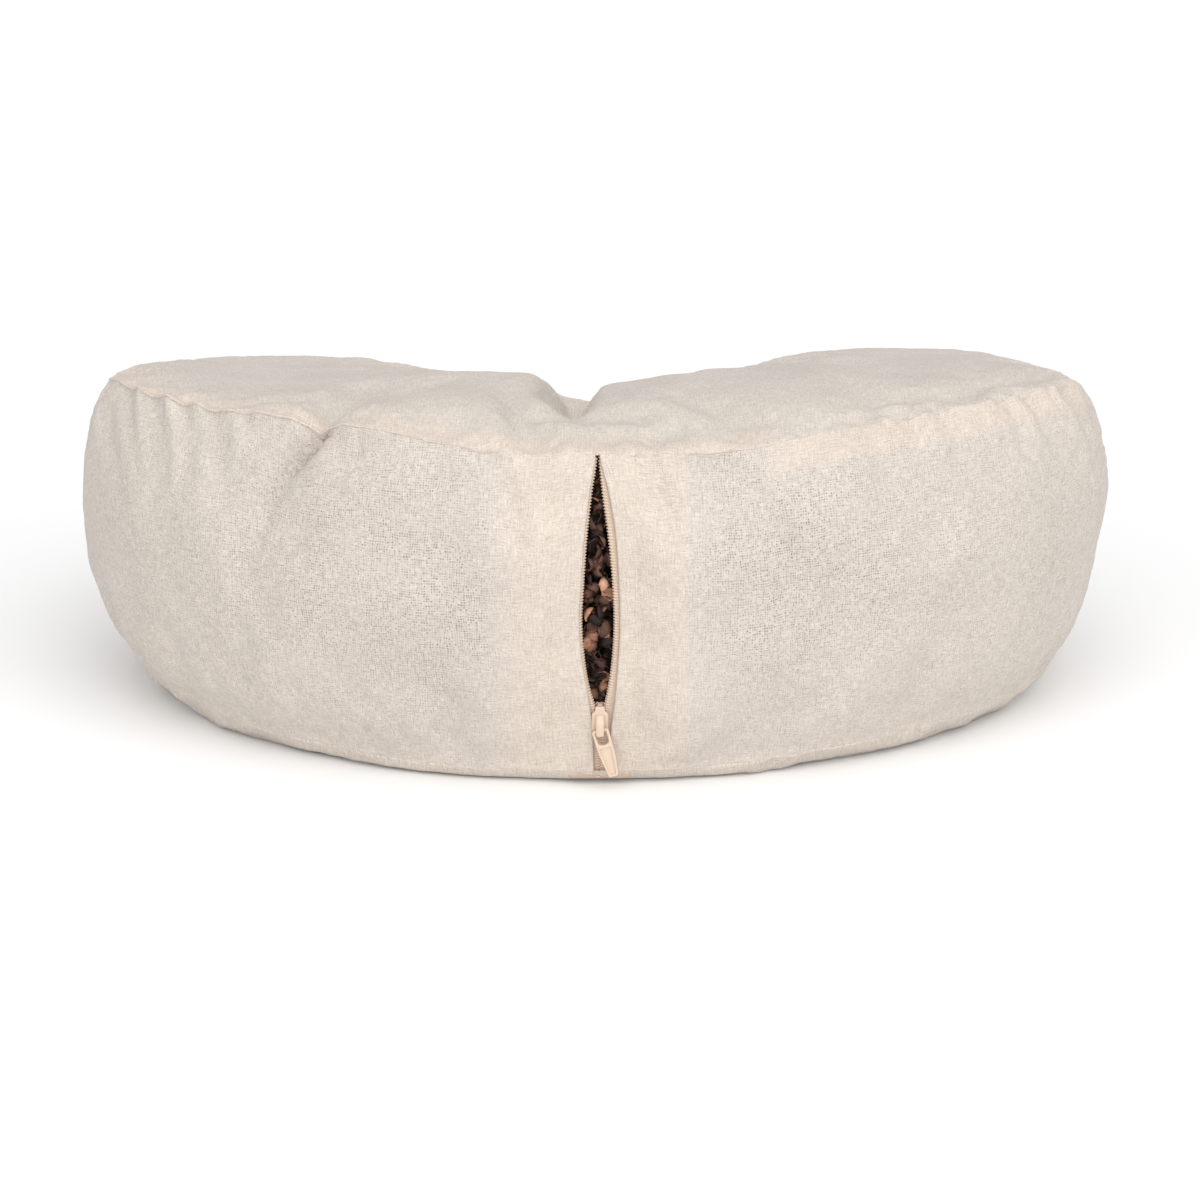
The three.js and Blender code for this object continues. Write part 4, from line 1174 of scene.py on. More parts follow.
def add_roll(side, column):
    """Points that carry the edge of the band round and back. Returns their faces."""
    global outside, laid_band, doubled, hulls_near
    edge, away = outside[column], normals[column]
    towards = np.cross(away, (0, 0, 1)) * side
    towards[:, 2] = 0
    towards = of_length_one(towards)
    rings = [edge + hem_roll * (np.sin(a) * towards + (np.cos(a) - 1) * away) for a in roll_turns]
    rings.append(rings[-1] - towards * hem_return)
    added = len(rings) * len(column)
    number = np.concatenate([column[None], len(outside) + np.arange(added).reshape(len(rings), -1)])
    outside = np.concatenate([outside] + rings)
    across = np.cumsum([roll_step] * len(roll_turns) + [hem_return])
    laid_band = np.concatenate([laid_band] + [laid_band[column] - [side * step, 0] for step in across])
    doubled = np.append(doubled, np.ones(added))
    hulls_near = np.append(hulls_near, np.zeros(added))
    return cells(number, flip=side > 0)


rolls = []
for side, station in zip((-1, 1), zip_stations):
    rolls += add_roll(side, numbers["front"][station])
print("hems", len(rolls), "faces")

# %% [markdown]
# A face that closes the ring of the band has corners at its start and at its end, so its UV corners at the
# start are moved on by the whole length. A thin Solidify then gives the cloth its thickness, inwards.

# %% Cloth pieces
cloth_thickness = 0.0006


def lay_weave(mesh, laid_mm):
    """Gives a mesh the UV map of its threads, from the place of each point on the flat cloth."""
    corners = np.zeros(len(mesh.loops), int)
    starts, counts = np.zeros((2, len(mesh.polygons)), int)
    mesh.loops.foreach_get("vertex_index", corners)
    mesh.polygons.foreach_get("loop_start", starts)
    mesh.polygons.foreach_get("loop_total", counts)
    laid = laid_mm[corners]
    farthest = np.repeat(np.maximum.reduceat(laid[:, 0], starts), counts)
    laid[:, 0] += band_round * (farthest - laid[:, 0] > band_round / 2)
    uv = mesh.uv_layers.new(name="weave")
    uv.data.foreach_set("uv", (laid / 1000).astype(np.float32).ravel())


def add_values(mesh, label, kind, values):
    """Stores a number or a vector on each point of a mesh."""
    layer = mesh.attributes.new(label, kind, "POINT")
    held = "vector" if kind == "FLOAT_VECTOR" else "value"
    layer.data.foreach_set(held, np.asarray(values, np.float32).ravel())


def cloth_piece(name, quads, node, laid_flat):
    used = sorted({corner for quad in quads for corner in quad})
    number = {corner: i for i, corner in enumerate(used)}
    mesh = bpy.data.meshes.new(name)
    mesh.from_pydata(to_model(outside[used]).tolist(), [], [[number[c] for c in quad] for quad in quads])
    lay_weave(mesh, laid_flat[used])
    add_values(mesh, "doubled", "FLOAT", doubled[used])
    add_values(mesh, "hulls_near", "FLOAT", hulls_near[used])
    mesh.shade_smooth()
    mesh.materials.append(calico)
    piece = put(name, mesh)
    thick = piece.modifiers.new("thickness", "SOLIDIFY")
    thick.thickness, thick.offset = cloth_thickness, -1
    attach(piece, "root")
    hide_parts(node)
    print(name, len(quads), "faces")


cloth_piece("cover_band", faces["band"] + rolls, "side_band", laid_band)
cloth_piece("cover_top", faces["top"], "top_panel", outside[:, :2])
cloth_piece("cover_base", faces["base"], "bottom_panel", outside[:, :2])

# %% [markdown]
# ## Places on the zip
#
# The zip follows the band: every piece of it is placed by its distance across, its height, and how far in
# it lies from the outside of the cloth. A table of the finished surface, with a value for each millimetre
# across and up, gives the rest.

# %% Wall beside the zip
wall_xs, wall_heights = np.arange(-46, 46.1, 1.0), np.arange(1.0, 139.1, 1.0)
wall_ys = np.zeros((len(wall_heights), len(wall_xs)))
rows = [outside[numbers["front"][s]] for s in range(stations) if abs(front_band[s, middle_row, 0]) < 60]
for h, height in enumerate(wall_heights):
    xs, ys = np.array([[np.interp(height, row[:, 2], row[:, k]) for k in (0, 1)] for row in rows]).T
    wall_ys[h] = np.interp(wall_xs, xs, ys)
print("wall beside the zip from", wall_ys.min().round(1), "to", wall_ys.max().round(1), "mm")

# %% [markdown]
# Between the values of the table a place is found by its share of the square that it lies in. Depth is
# measured at a right angle to the wall, so where the wall leans back, what lies deeper in also lies lower.


# %% Places on the wall
def wall_y(x, height):
    """How far back the outside of the cloth lies."""
    column = np.clip((np.asarray(x, float) - wall_xs[0]), 0, len(wall_xs) - 1.001)
    row = np.clip(np.asarray(height, float) - wall_heights[0], 0, len(wall_heights) - 1.001)
    i, j = row.astype(int), column.astype(int)
    u, v = row - i, column - j
    return ((wall_ys[i, j] * (1 - v) + wall_ys[i, j + 1] * v) * (1 - u)
            + (wall_ys[i + 1, j] * (1 - v) + wall_ys[i + 1, j + 1] * v) * u)


def wall_lean(x, height):
    """Angle by which the wall leans back, in radians. Low on the band it is negative: it leans out."""
    return np.arctan2(wall_y(x, height + 1.5) - wall_y(x, height - 1.5), 3.0)


def zip_place(x, height, depth):
    """The place that is so far across, so high, and so far in from the outside of the cloth."""
    x, height, depth = np.broadcast_arrays(*(np.asarray(v, float) for v in (x, height, depth)))
    lean = wall_lean(x, height)
    return np.stack([x, wall_y(x, height) + depth * np.cos(lean), height - depth * np.sin(lean)], -1)


print("at the slider the wall leans out by", round(-math.degrees(float(wall_lean(1, 30))), 1), "degrees")

# %% [markdown]
# The small pieces are skins over rings of points, or come from curves and node trees. Whatever made them,
# their faces are turned outwards, and one function puts them in their place on the part.


# %% Meshes and pieces
def ring_mesh(name, rings):
    """Rings of points, one after the other, as a closed skin."""
    count, around = rings.shape[:2]
    quads = []
    for r in range(count - 1):
        for k in range(around):
            a, b = r * around + k, r * around + (k + 1) % around
            quads.append([a, b, b + around, a + around])
    quads += [list(range(around))[::-1], [(count - 1) * around + k for k in range(around)]]
    mesh = bpy.data.meshes.new(name)
    mesh.from_pydata(rings.reshape(-1, 3).tolist(), [], quads)
    return mesh


def face_outward(mesh):
    shape = bmesh.new()
    shape.from_mesh(mesh)
    bmesh.ops.recalc_face_normals(shape, faces=shape.faces)
    shape.to_mesh(mesh)
    shape.free()


def show_piece(name, mesh, material, nodes=()):
    """Puts a finished mesh on the part, in the place of the solids that it stands for."""
    mesh.shade_smooth()
    mesh.materials.clear()
    mesh.materials.append(material)
    piece = put(name, mesh)
    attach(piece, "root")
    if nodes:
        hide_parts(*nodes)
    print(name, len(mesh.polygons), "faces")
    return piece


# %% [markdown]
# ## Hulls
#
# Buckwheat hulls are the split, three-cornered shells of the seed: light cups 5 to 8 mm long, from tan
# through chestnut to nearly black. Dry husk has an IOR of about 1.5 and a roughness near 0.6, which gives
# the eye a dull light on the edges of the cups and no gloss. Only the slit shows them.

# %% Hull material
husk_stops = ((0.14, "#1A110E"), (0.34, "#33211A"), (0.56, "#5C3F33"), (0.78, "#8E6450"), (0.98, "#C99A7C"))


def make_hull_material():
    material, tree, shader = new_material("buckwheat_hull", {"Roughness": 0.6, "IOR": 1.5,
                                                             "Specular IOR Level": 0.3})
    # tone holds each hull's own random colour, lowered as painted shade in the deeper layers; the heap has
    # none, so it takes the darkest colours
    tone = add_node(tree, "ShaderNodeAttribute", attribute_name="tone")
    place = add_node(tree, "ShaderNodeTexCoord")
    mm = add_node(tree, "ShaderNodeVectorMath", {0: place.outputs["Object"], "Scale": 1000.0},
                  operation="SCALE")
    grain = add_node(tree, "ShaderNodeTexNoise", {"Vector": mm.outputs[0], "Scale": 0.9, "Detail": 3.0})
    mixed = add_node(tree, "ShaderNodeMath", {0: grain.outputs[0], 1: 0.35, 2: tone.outputs["Fac"]},
                     operation="MULTIPLY_ADD")
    ramp = add_node(tree, "ShaderNodeValToRGB", {0: mixed.outputs[0]})
    stops = ramp.color_ramp.elements
    stops.remove(stops[0])
    for i, (at, colour) in enumerate(husk_stops):
        stop = stops.new(at) if i else stops[0]
        stop.position, stop.color = at, linear(colour)
    tree.links.new(ramp.outputs[0], shader.inputs["Base Color"])
    bump = add_node(tree, "ShaderNodeBump", {"Height": grain.outputs[0], "Distance": 0.0002, "Strength": 0.6})
    tree.links.new(bump.outputs[0], shader.inputs["Normal"])
    return material


hull_material = make_hull_material()
print(hull_material.name, [colour for _, colour in husk_stops])

# %% [markdown]
# Behind the slit a heap of hulls fills the cushion. Its hulls are dark, and it has no tone of its own, so it
# takes the darkest hull colours, as painted shade deep inside. It is the cover's own shape, drawn in by 7 mm,
# and by 10 mm behind the slit to leave room for single cups. It is made an even mesh too, and noise roughens
# it.

# %% Heap of hulls
heap_depth, trench_depth, trench_edges = 7.0, 10.0, (13, 24)
heap_roughness = 0.0008


def make_heap():
    beside = np.where(stuffed[:, 1] < 70, np.abs(stuffed[:, 0] - 1), 99)
    depth = trench_depth + (heap_depth - trench_depth) * smoothstep(beside, *trench_edges)
    heap = even_mesh("hull_heap", stuffed - soften(plain_normals, points, 14.0) * depth[:, None])
    places = coordinates(heap)
    rough = np.stack([lumps(places * 1000, 4.0, seed) for seed in (21, 22, 23)], -1) * heap_roughness
    heap.vertices.foreach_set("co", (places + rough).astype(np.float32).ravel())
    return heap


# without a tone the heap is painted in the darkest hull colours: dark hulls, and painted shade deep inside
show_piece("hull_heap", make_heap(), hull_material, ["hull_filling"])

# %% [markdown]
# Two hundred single cups lie in front of the heap. Hulls break into few kinds of pieces, so three shapes are
# enough: a full cup, a narrow petal and a flat flake. Each is a thin bowl of about sixty faces.


# %% Three shapes of hull
def cup_mesh(name, wide, deep, pointed, twist, notch):
    """A split hull: a pointed bowl with a thin wall, 1 long, along X."""
    rows, columns = 6, 5
    u = np.linspace(0.0, 1.0, rows)[:, None]
    v = np.linspace(-1.0, 1.0, columns)[None]
    half_width = wide / 2 * np.sin(math.pi * u**pointed) ** 0.6 + 0.02
    edge = 1 - notch * np.cos(u * math.pi * 3) ** 2
    x = (u - 0.5) + 0 * v
    y = v * half_width * edge
    z = -deep * (1 - v**2) * np.sin(math.pi * u) ** 0.8 + twist * v * (u - 0.5)
    outer = np.stack([x, y, z], -1).reshape(-1, 3)
    inner = outer * (0.86, 0.84, 0.78) + (0, 0, 0.012)
    quads = []
    for r in range(rows - 1):
        for c in range(columns - 1):
            a = r * columns + c
            quad = [a, a + 1, a + columns + 1, a + columns]
            quads += [quad, [q + rows * columns for q in quad[::-1]]]
    number = np.arange(rows * columns).reshape(rows, columns)
    rim = [*number[0], *number[1:, -1], *number[-1, -2::-1], *number[-2:0:-1, 0]]
    for a, b in zip(rim, rim[1:] + rim[:1]):
        quads.append([b, a, a + rows * columns, b + rows * columns])
    mesh = bpy.data.meshes.new(name)
    mesh.from_pydata(np.concatenate([outer, inner]).tolist(), [], np.array(quads).tolist())
    face_outward(mesh)
    mesh.shade_smooth()
    return mesh


hull_shapes = [
    cup_mesh("hull_cup", wide=0.92, deep=0.36, pointed=0.85, twist=0.10, notch=0.0),
    cup_mesh("hull_petal", wide=0.7, deep=0.3, pointed=0.65, twist=-0.2, notch=0.08),
    cup_mesh("hull_flake", wide=1.0, deep=0.2, pointed=1.0, twist=0.25, notch=0.12),
]
shape_holder = bpy.data.collections.new("hull_shapes")
for mesh in hull_shapes:
    shape_holder.objects.link(bpy.data.objects.new(mesh.name, mesh))
print("hull shapes", [len(mesh.polygons) for mesh in hull_shapes], "faces")

# %% [markdown]
# ## One shape on many points
#
# Hulls, turns of the coil and stitches are all one small shape on many points. Geometry Nodes set it there,
# and each point carries its own turn. Every tree has named inputs for its sizes, and ends by making the
# copies real and giving them their material. `grow` runs a tree over a list of points.


# %% Trees that set a shape on every point
def new_geometry_tree(name, **sockets):
    """A tree with the given inputs, and the node that hands them in."""
    tree = bpy.data.node_groups.new(name, "GeometryNodeTree")
    tree.interface.new_socket("Geometry", in_out="INPUT", socket_type="NodeSocketGeometry")
    for label, kind in {**sockets, "Material": "Material"}.items():
        tree.interface.new_socket(label, in_out="INPUT", socket_type="NodeSocket" + kind)
    tree.interface.new_socket("Geometry", in_out="OUTPUT", socket_type="NodeSocketGeometry")
    return tree, tree.nodes.new("NodeGroupInput")


def finish_on_points(tree, given, inputs):
    """Sets an instance on every point, turned by the point's own turn, and ends the tree."""
    turn = add_node(tree, "GeometryNodeInputNamedAttribute", {"Name": "turn"}, data_type="FLOAT_VECTOR")
    rotation = add_node(tree, "FunctionNodeEulerToRotation", {0: turn.outputs["Attribute"]})
    placed = add_node(tree, "GeometryNodeInstanceOnPoints",
                      {0: given.outputs["Geometry"], "Rotation": rotation.outputs[0], **inputs})
    real = add_node(tree, "GeometryNodeRealizeInstances", {0: placed.outputs[0]})
    painted = add_node(tree, "GeometryNodeSetMaterial", {0: real.outputs[0],
                                                         "Material": given.outputs["Material"]})
    tree.links.new(painted.outputs[0], tree.nodes.new("NodeGroupOutput").inputs[0])
    return tree


def grow(name, tree, places, turns, point_values=None, **inputs):
    """Runs a tree over points in millimetres and gives back the mesh that it makes."""
    mesh = bpy.data.meshes.new(name + "_points")
    mesh.from_pydata(to_model(places).tolist(), [], [])
    add_values(mesh, "turn", "FLOAT_VECTOR", turns)
    for label, values in (point_values or {}).items():
        add_values(mesh, label, "FLOAT", values)
    holder = put(name + "_points", mesh)
    modifier = holder.modifiers.new("grow", "NODES")
    modifier.node_group = tree
    for item in tree.interface.items_tree:
        if item.item_type == "SOCKET" and item.in_out == "INPUT" and item.name in inputs:
            modifier[item.identifier] = inputs[item.name]
    return baked_mesh(holder, name)


print("each point keeps its turn in the attribute", "turn")

# %% [markdown]
# For the hulls the tree picks one of the three shapes for each point, and gives it a size of its own.


# %% Tree for the hulls
def make_scatter_tree():
    tree, given = new_geometry_tree("scatter_hulls", Shapes="Collection", Length="Float")
    shapes = add_node(tree, "GeometryNodeCollectionInfo", {0: given.outputs["Shapes"], "Reset Children": True,
                                                           "Separate Children": True})
    size = add_node(tree, "GeometryNodeInputNamedAttribute", {"Name": "size"}, data_type="FLOAT")
    scaled = add_node(tree, "ShaderNodeMath", {0: size.outputs["Attribute"], 1: given.outputs["Length"]},
                      operation="MULTIPLY")
    return finish_on_points(tree, given, {"Instance": shapes.outputs[0], "Pick Instance": True,
                                          "Scale": scaled.outputs[0]})


scatter_tree = make_scatter_tree()
print(scatter_tree.name, len(scatter_tree.nodes), "nodes")

# %% [markdown]
# The cups lie in three layers between the two coils. Their colour varies at random, and the deeper layers are
# painted darker, as painted shade for the light that reaches them less; the deeper ones also spread farther
# behind the coils. Each is turned at random, and seven in ten show the same side.

# %% Scatter the hulls in the slit
hull_length, hull_low, hull_high = 0.0068, 7, 137
# depth of the middle and thickness in millimetres, number of hulls, and how pale its lightest hull may be:
# painted shade, lower in the deeper layers
hull_layers = ((8.2, 1.2, 70, 0.4), (6.2, 1.0, 70, 0.65), (4.4, 0.8, 60, 0.85))

rng = np.random.default_rng(11)
heights, xs, depths, tones_with_painted_shade = [], [], [], []
for depth, spread, count, palest_under_painted_shade in hull_layers:
    height = hull_low + (hull_high - hull_low) * (np.arange(count) + rng.random(count)) / count
    spare = 2.0 - 0.7 * (9.0 - depth)
    left = read_table(slit_edges, slit_columns, "coil_left", height) - spare
    right = np.maximum(left + 0.1, read_table(slit_edges, slit_columns, "coil_right", height) + spare)
    narrow = 1 - smoothstep(right - left, 1, 6)
    heights.append(height)
    xs.append(left + (right - left) * rng.random(count))
    depths.append(depth + spread * (rng.random(count) - 0.5) + 2.5 * narrow)
    # a random tone, darkened by painted shade in the deeper layers
    tones_with_painted_shade.append(rng.random(count) ** 1.6 * palest_under_painted_shade)
heights, xs, depths, tones_with_painted_shade = (np.concatenate(v) for v in (heights, xs, depths, tones_with_painted_shade))
tilt = rng.uniform(-0.9, 0.9, len(xs)) + math.pi / 2 * rng.choice([-1, 1], len(xs), p=[0.3, 0.7])
turns = np.stack([tilt, rng.uniform(-0.9, 0.9, len(xs)), rng.uniform(0, 2 * math.pi, len(xs))], -1)
sizes = rng.uniform(0.75, 1.2, len(xs))
hulls = grow("slit_hulls", scatter_tree, zip_place(xs, heights, depths), turns,
             {"size": sizes, "tone": tones_with_painted_shade},
             Shapes=shape_holder, Length=hull_length, Material=hull_material)
show_piece("slit_hulls", hulls, hull_material)

# %% [markdown]
# ## Zip
#
# This is a nylon coil zip, sewn in with its coil to the inside: from the front one sees the woven tape, and
# only the heads of the turns beyond its edge, 1.2 mm apart. Left of the slit the hem covers the tape. On
# the right the tape shows as a narrow rosy strip. The tape is polyester with an IOR near 1.55, closely
# woven, so it is a little smoother than the calico and shows fine ribs from side to side.


# %% Tape material
def make_tape_material():
    material, tree, shader = new_material("woven_zip_tape", {"Roughness": 0.75, "IOR": 1.55})
    ribs = add_node(tree, "ShaderNodeTexWave", {"Vector": weave_mm(tree), "Scale": 0.55, "Distortion": 0.6,
                                                "Detail": 1.0}, bands_direction="Y")
    colour = add_node(tree, "ShaderNodeMix", {"Factor": ribs.outputs["Fac"], "A": linear("#BFA997"),
                                              "B": linear("#D0BBA8")}, data_type="RGBA")
    tree.links.new(colour.outputs["Result"], shader.inputs["Base Color"])
    bump = add_node(tree, "ShaderNodeBump", {"Height": ribs.outputs["Fac"], "Distance": 0.00012,
                                             "Strength": 0.8})
    tree.links.new(bump.outputs[0], shader.inputs["Normal"])
    return material


zip_tape = make_tape_material()
print(zip_tape.name, len(zip_tape.node_tree.nodes), "nodes")

# %% [markdown]
# A tape is 12 mm wide. It runs behind the hem from the coil's heads outwards, and from the bottom seam to
# the top seam. It hangs stretched between its rows of stitches, so it is a sheet that is held.

# %% Tapes
# millimetres; the depth is that of the tape's middle, from the outside of the cloth
coil_reach = {"head": 0.2, "half_width": 1.1, "half_depth": 0.65, "wire": 0.38, "pitch": 1.2}
tape_shape = {"width": 12.0, "thickness": 0.5, "low": 3.0, "high": 137.0, "depth": 1.75}
tape_step, tape_rows = 1.5, 9
slit_side = {-1: "coil_left", 1: "coil_right"}


def make_tape(side):
    heights = np.arange(tape_shape["low"], tape_shape["high"], tape_step)
    near = read_table(slit_edges, slit_columns, slit_side[side], heights) + side * coil_reach["head"]
    across = np.linspace(0, tape_shape["width"] - coil_reach["head"], tape_rows)
    xs = near[:, None] + side * across
    tall = np.broadcast_to(heights[:, None], xs.shape)
    half = tape_shape["thickness"] / 2
    front = zip_place(xs, tall, tape_shape["depth"] - half)
    back = zip_place(xs, tall, tape_shape["depth"] + half)
    mesh = ring_mesh("tape", to_model(np.concatenate([front, back[:, ::-1]], 1)))
    face_outward(mesh)
    flat = np.stack([xs, tall], -1)
    lay_weave(mesh, np.concatenate([flat, flat[:, ::-1]], 1).reshape(-1, 2))
    return mesh


for side, name in ((-1, "zip_tape_left"), (1, "zip_tape_right")):
    tape = show_piece("woven_" + name, make_tape(side), zip_tape, [name])

# %% [markdown]
# Coil, slider and puller are nylon, with an IOR of 1.53. It comes smooth from the mould, so it has a soft
# gloss, and thin nylon lets a little light through, which warms its shaded sides.

# %% Nylon material
nylon = new_material("moulded_nylon", {
    "Base Color": linear("#D9C2AE"), "Roughness": 0.38, "IOR": 1.53,
    "Subsurface Weight": 0.15, "Subsurface Radius": (0.001, 0.0006, 0.0004)})[0]
print(nylon.name)

# %% [markdown]
# A coil is one nylon strand wound round and round. Each turn is a ring here, set a pitch above the last.
# The turns of the two sides are half a pitch apart, so that they mesh where the zip is closed.


# %% Tree for the coil
def make_coil_tree():
    tree, given = new_geometry_tree("wind_coil", Width="Float", Depth="Float", Wire="Float")
    ring = add_node(tree, "GeometryNodeCurvePrimitiveCircle", {"Resolution": 12, "Radius": 1.0})
    oval = add_node(tree, "ShaderNodeCombineXYZ", {0: given.outputs["Width"], 1: given.outputs["Depth"],
                                                   2: 1.0})
    pressed = add_node(tree, "GeometryNodeTransform", {0: ring.outputs[0], "Scale": oval.outputs[0]})
    wire = add_node(tree, "GeometryNodeCurvePrimitiveCircle", {"Resolution": 6,
                                                               "Radius": given.outputs["Wire"]})
    turn = add_node(tree, "GeometryNodeCurveToMesh", {0: pressed.outputs[0], 1: wire.outputs[0]})
    return finish_on_points(tree, given, {"Instance": turn.outputs[0]})


coil_tree = make_coil_tree()
print(coil_tree.name, len(coil_tree.nodes), "nodes")

# %% [markdown]
# The heads follow the two edges of the slit, read off the photograph. Below the slider, up to 31 mm, the
# two coils are pushed into each other. A turn leans as the wall does, and a little to its own side.

# %% Coils
coil_low, coil_high, coil_behind_tape = 3.6, 137, 0.55
meshing_depth, meshing_ends, coil_tilt = 0.55, (26, 31), 0.12


def make_coil(side, name):
    pitch = coil_reach["pitch"]
    heights = np.arange(coil_low + (pitch / 2 if side > 0 else 0), coil_high, pitch)
    meshing = meshing_depth * (1 - smoothstep(heights, *meshing_ends))
    heads = read_table(slit_edges, slit_columns, slit_side[side], heights)
    x = heads + side * (coil_reach["half_width"] - meshing)
    turns = np.stack([-wall_lean(x, heights), np.full(len(x), coil_tilt * side), 0 * x], -1)
    places = zip_place(x, heights, tape_shape["depth"] + coil_behind_tape)
    return grow(name, coil_tree, places, turns, Width=coil_reach["half_width"] / 1000,
                Depth=coil_reach["half_depth"] / 1000, Wire=coil_reach["wire"] / 1000, Material=nylon)


for side, name in ((-1, "zip_coil_left"), (1, "zip_coil_right")):
    show_piece("wound_" + name, make_coil(side, name + "_turns"), nylon, [name])

# %% [markdown]
# ## Stitches
#
# Each hem is held down by one line of lockstitch, 3 mm a stitch, in thread of the cloth's own colour. A
# stitch is a slender bead here, pressed half its thickness into the cloth. Cotton thread is matt, with an
# IOR of 1.5, and the eye sees it as a row of small pale dashes.

# %% Thread material
thread_material = new_material("cotton_thread", {"Base Color": linear("#DACDBE"), "Roughness": 0.8,
                                                 "IOR": 1.5})[0]
print(thread_material.name)

# %% [markdown]
# The bead is a ball that the tree draws out to the stitch's length. The two lines follow the hems.


# %% Stitch lines
def make_stitch_tree():
    tree, given = new_geometry_tree("sew_stitches", Length="Float", Thickness="Float")
    bead = add_node(tree, "GeometryNodeMeshUVSphere", {"Segments": 8, "Rings": 6, "Radius": 0.5})
    slender = add_node(tree, "ShaderNodeCombineXYZ", {0: given.outputs["Thickness"],
                                                      1: given.outputs["Thickness"],
                                                      2: given.outputs["Length"]})
    shaped = add_node(tree, "GeometryNodeTransform", {0: bead.outputs[0], "Scale": slender.outputs[0]})
    return finish_on_points(tree, given, {"Instance": shaped.outputs[0]})


stitch_pitch, stitch_length, thread_thickness = 3.0, 2.5, 0.5
one_line = np.arange(9, 134, stitch_pitch)
stitch_xs = np.concatenate([stitch_line(side, one_line) for side in (-1, 1)])
stitch_heights = np.tile(one_line, 2)
stitch_turns = np.stack([-wall_lean(stitch_xs, stitch_heights), 0 * stitch_xs, 0 * stitch_xs], -1)
stitches = grow("hem_stitches", make_stitch_tree(), zip_place(stitch_xs, stitch_heights, 0.0), stitch_turns,
                Length=stitch_length / 1000, Thickness=thread_thickness / 1000, Material=thread_material)
show_piece("hem_stitches", stitches, thread_material)

# %% [markdown]
# ## Slider and puller
#
# Both are moulded, with round edges everywhere. A flat outline with its holes, extruded and bevelled as a
# curve, gives such a shape directly.


# %% Bevelled plates
def rounded(corners, radii, steps=6):
    """A closed outline with its corners rounded, each by its own radius."""
    corners = [Vector(c) for c in corners]
    outline = []
    for i, (corner, radius) in enumerate(zip(corners, radii)):
        back, ahead = corners[i - 1] - corner, corners[(i + 1) % len(corners)] - corner
        cut = min(radius, back.length / 2, ahead.length / 2)
        start, end = corner + back.normalized() * cut, corner + ahead.normalized() * cut
        for k in range(steps + 1):
            t = k / steps
            outline.append(start * (1 - t) ** 2 + corner * 2 * t * (1 - t) + end * t * t)
    return [tuple(p) for p in outline]


def plate(outlines, thickness, bevel, front):
    """Closed outlines in millimetres as a plate with round edges, its front face at the given height."""
    curve = bpy.data.curves.new("plate", "CURVE")
    curve.dimensions, curve.fill_mode = "2D", "BOTH"
    curve.extrude, curve.bevel_depth, curve.bevel_resolution = thickness / 2 - bevel, bevel, 2
    curve.offset = -bevel
    for outline in outlines:
        spline = curve.splines.new("POLY")
        spline.points.add(len(outline) - 1)
        spline.points.foreach_set("co", [v for px, py in outline for v in (px, py, 0, 1)])
        spline.use_cyclic_u = True
    mesh = baked_mesh(put("plate", curve), "plate")
    mesh.transform(Matrix.Translation((0, 0, front - thickness / 2)))
    return mesh


def joined(meshes, placing, name):
    """Plates in millimetres, moved to their place on the zip and made one mesh in metres."""
    shape = bmesh.new()
    for mesh in meshes:
        shape.from_mesh(mesh)
    bmesh.ops.remove_doubles(shape, verts=shape.verts, dist=0.002)
    bmesh.ops.recalc_face_normals(shape, faces=shape.faces)
    shape.transform(placing)
    for vertex in shape.verts:
        vertex.co = Vector(to_model(vertex.co))
    result = bpy.data.meshes.new(name)
    shape.to_mesh(result)
    shape.free()
    return result


print("a rounded square has", len(rounded([(0, 0), (1, 0), (1, 1), (0, 1)], [0.2] * 4)), "points")

# %% [markdown]
# The puller's bar passes under a tongue on the slider: a strap that springs from the front plate, runs level
# and turns down at its lower end. Its section is a rounded oblong, carried along that path.


# %% Tongue
def tongue_rings(length, width, rise, foot, steps=14, around=12):
    path = []
    for k in range(steps + 1):
        t = k / steps
        up = math.sin(min(t / 0.3, 1) * math.pi / 2) * math.sin(min((1 - t) / 0.16, 1) * math.pi / 2)
        path.append((length * (0.5 - t), foot - 0.5 + (rise + 0.5) * up))
    rings = []
    for k, (along_y, high) in enumerate(path):
        before, after = path[max(k - 1, 0)], path[min(k + 1, steps)]
        ahead = Vector((after[0] - before[0], after[1] - before[1])).normalized()
        ring = []
        for angle in [2 * math.pi * j / around for j in range(around)]:
            across = width / 2 * math.copysign(abs(math.cos(angle)) ** 0.6, math.cos(angle))
            thick = 0.55 * math.copysign(abs(math.sin(angle)) ** 0.8, math.sin(angle))
            ring.append((across, along_y - ahead.y * thick, high + ahead.x * thick))
        rings.append(ring)
    return np.array(rings)


tongue_down = 2.0
tongue = tongue_rings(length=9.0, width=3.1, rise=3.2, foot=0.25)
tongue[..., 1] -= tongue_down
print("tongue", len(tongue), "rings")

# %% [markdown]
# The slider has a front plate and a back plate with one outline, joined by a post between the two coils. It
# stands near the foot of the slit and leans as the wall does.

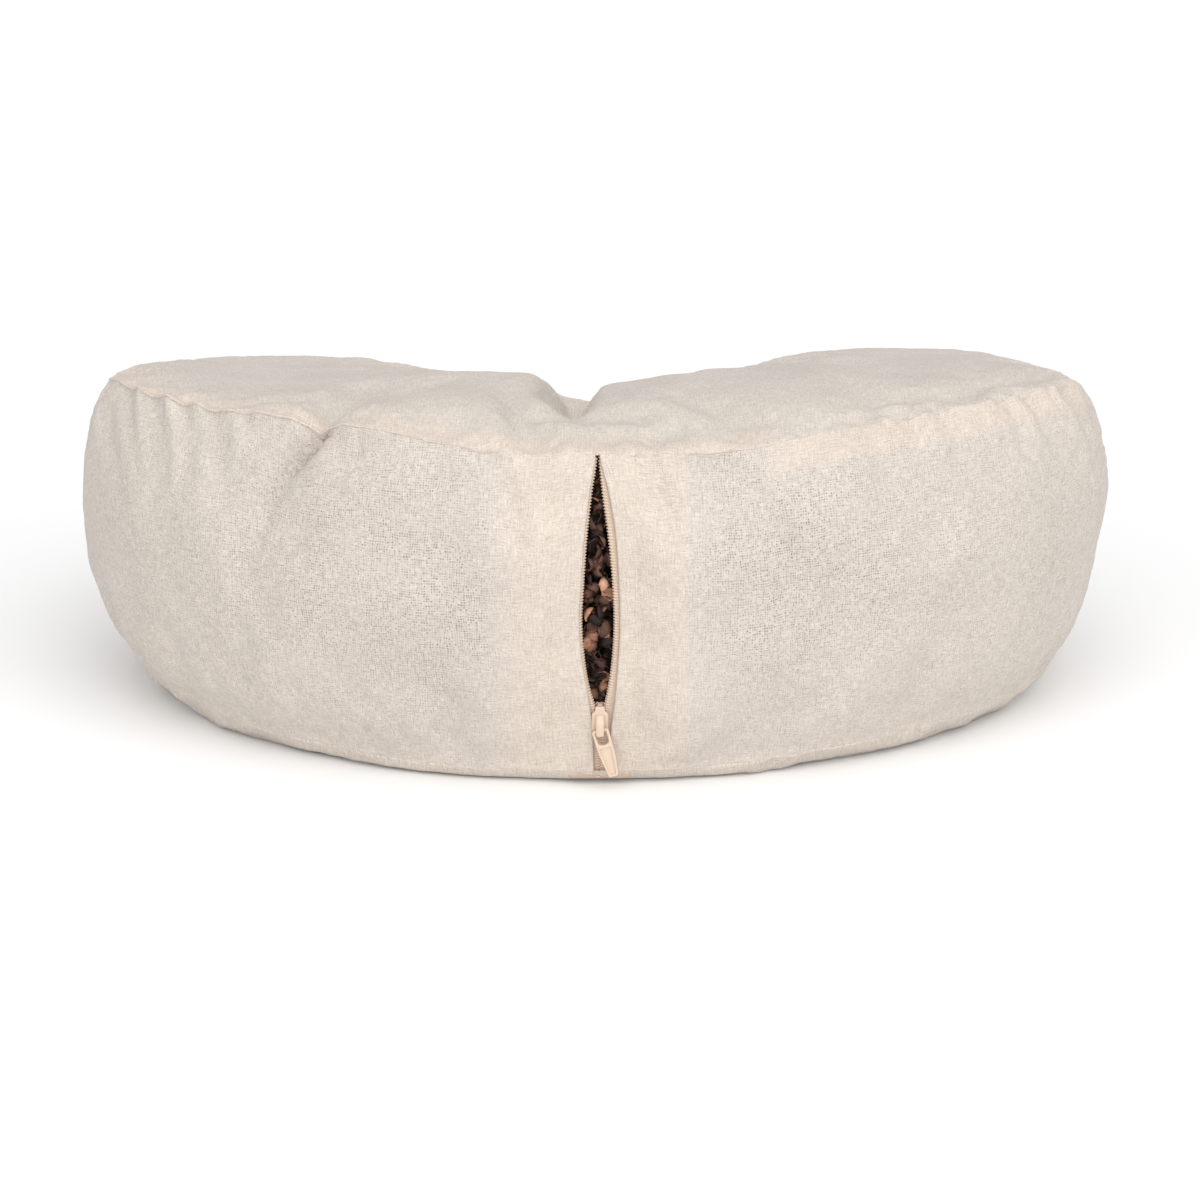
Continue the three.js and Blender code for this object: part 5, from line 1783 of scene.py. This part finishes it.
# %% Slider
slider_x, slider_height = 1.2, 30.5
lean_there = float(wall_lean(slider_x, slider_height))
slider_frame = (Matrix.Translation(Vector(zip_place(slider_x, slider_height, 0)))
                @ Matrix.Rotation(math.pi / 2 - lean_there, 4, "X"))
body = rounded([(-1.9, 6), (-1.9, 3.9), (-3.3, 2.9), (-3.3, -6), (3.3, -6), (3.3, 2.9), (1.9, 3.9), (1.9, 6)],
               [0.9, 0.5, 1.4, 1.8, 1.8, 1.4, 0.5, 0.9])
wedge = rounded([(-1.1, 6), (-0.9, 3.2), (0.9, 3.2), (1.1, 6)], [0.5] * 4)
front_plate = plate([body], thickness=1.4, bevel=0.45, front=0.25)
back_plate = plate([body], thickness=0.9, bevel=0.3, front=-3.35)
post = plate([wedge], thickness=3.6, bevel=0.2, front=-0.2)
slider = joined([front_plate, back_plate, post, ring_mesh("tongue", tongue)], slider_frame, "slider")
show_piece("moulded_slider", slider, nylon, ["zip_slider"])

# %% [markdown]
# The puller is a tab with a slot, round at its lower end, and a sunk face inside a rim. It hangs from its
# bar under the tongue and swings a little to the right.

# %% Puller
puller_length, puller_swing = 20.5, 0.28
low = 0.55 - puller_length
tab = rounded([(-3.4, 0.55), (-3.2, low / 2), (-1.9, low), (1.9, low), (3.2, low / 2), (3.4, 0.55)],
              [1.4, 2, 0.8, 0.8, 2, 1.4])
slot = rounded([(-2.3, -0.55), (-2.3, -6.2), (2.3, -6.2), (2.3, -0.55)], [0.5, 2.3, 2.3, 0.5], steps=8)
sunk_face = rounded([(-2.4, -7.4), (-1.2, low + 0.9), (1.2, low + 0.9), (2.4, -7.4)], [0.5] * 4)
floor = rounded([(-2.7, -6.6), (-1.5, low + 0.5), (1.5, low + 0.5), (2.7, -6.6)], [0.5] * 4)
rim_plate = plate([tab, slot, sunk_face], thickness=1.4, bevel=0.22, front=0.7)
floor_plate = plate([floor], thickness=0.7, bevel=0.1, front=0.05)
bar_place = slider_frame @ Vector((0, -3.9, 1.75))
puller_frame = (Matrix.Translation(bar_place) @ Matrix.Rotation(-puller_swing, 4, "Y")
                @ Matrix.Rotation(math.pi / 2, 4, "X"))
puller = joined([rim_plate, floor_plate], puller_frame, "puller")
show_piece("moulded_puller", puller, nylon, ["zip_puller"])

# %% [markdown]
# ## Size and finish
#
# Both boxes are gathered here: that of the imported model and that of the dressed part.

# %% Gather the sizes
sizes = {"cad": [list(corner) for corner in cad_bounds], "visual": [list(corner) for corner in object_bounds()]}
print("visual box", [round(value, 4) for corner in sizes["visual"] for value in corner])
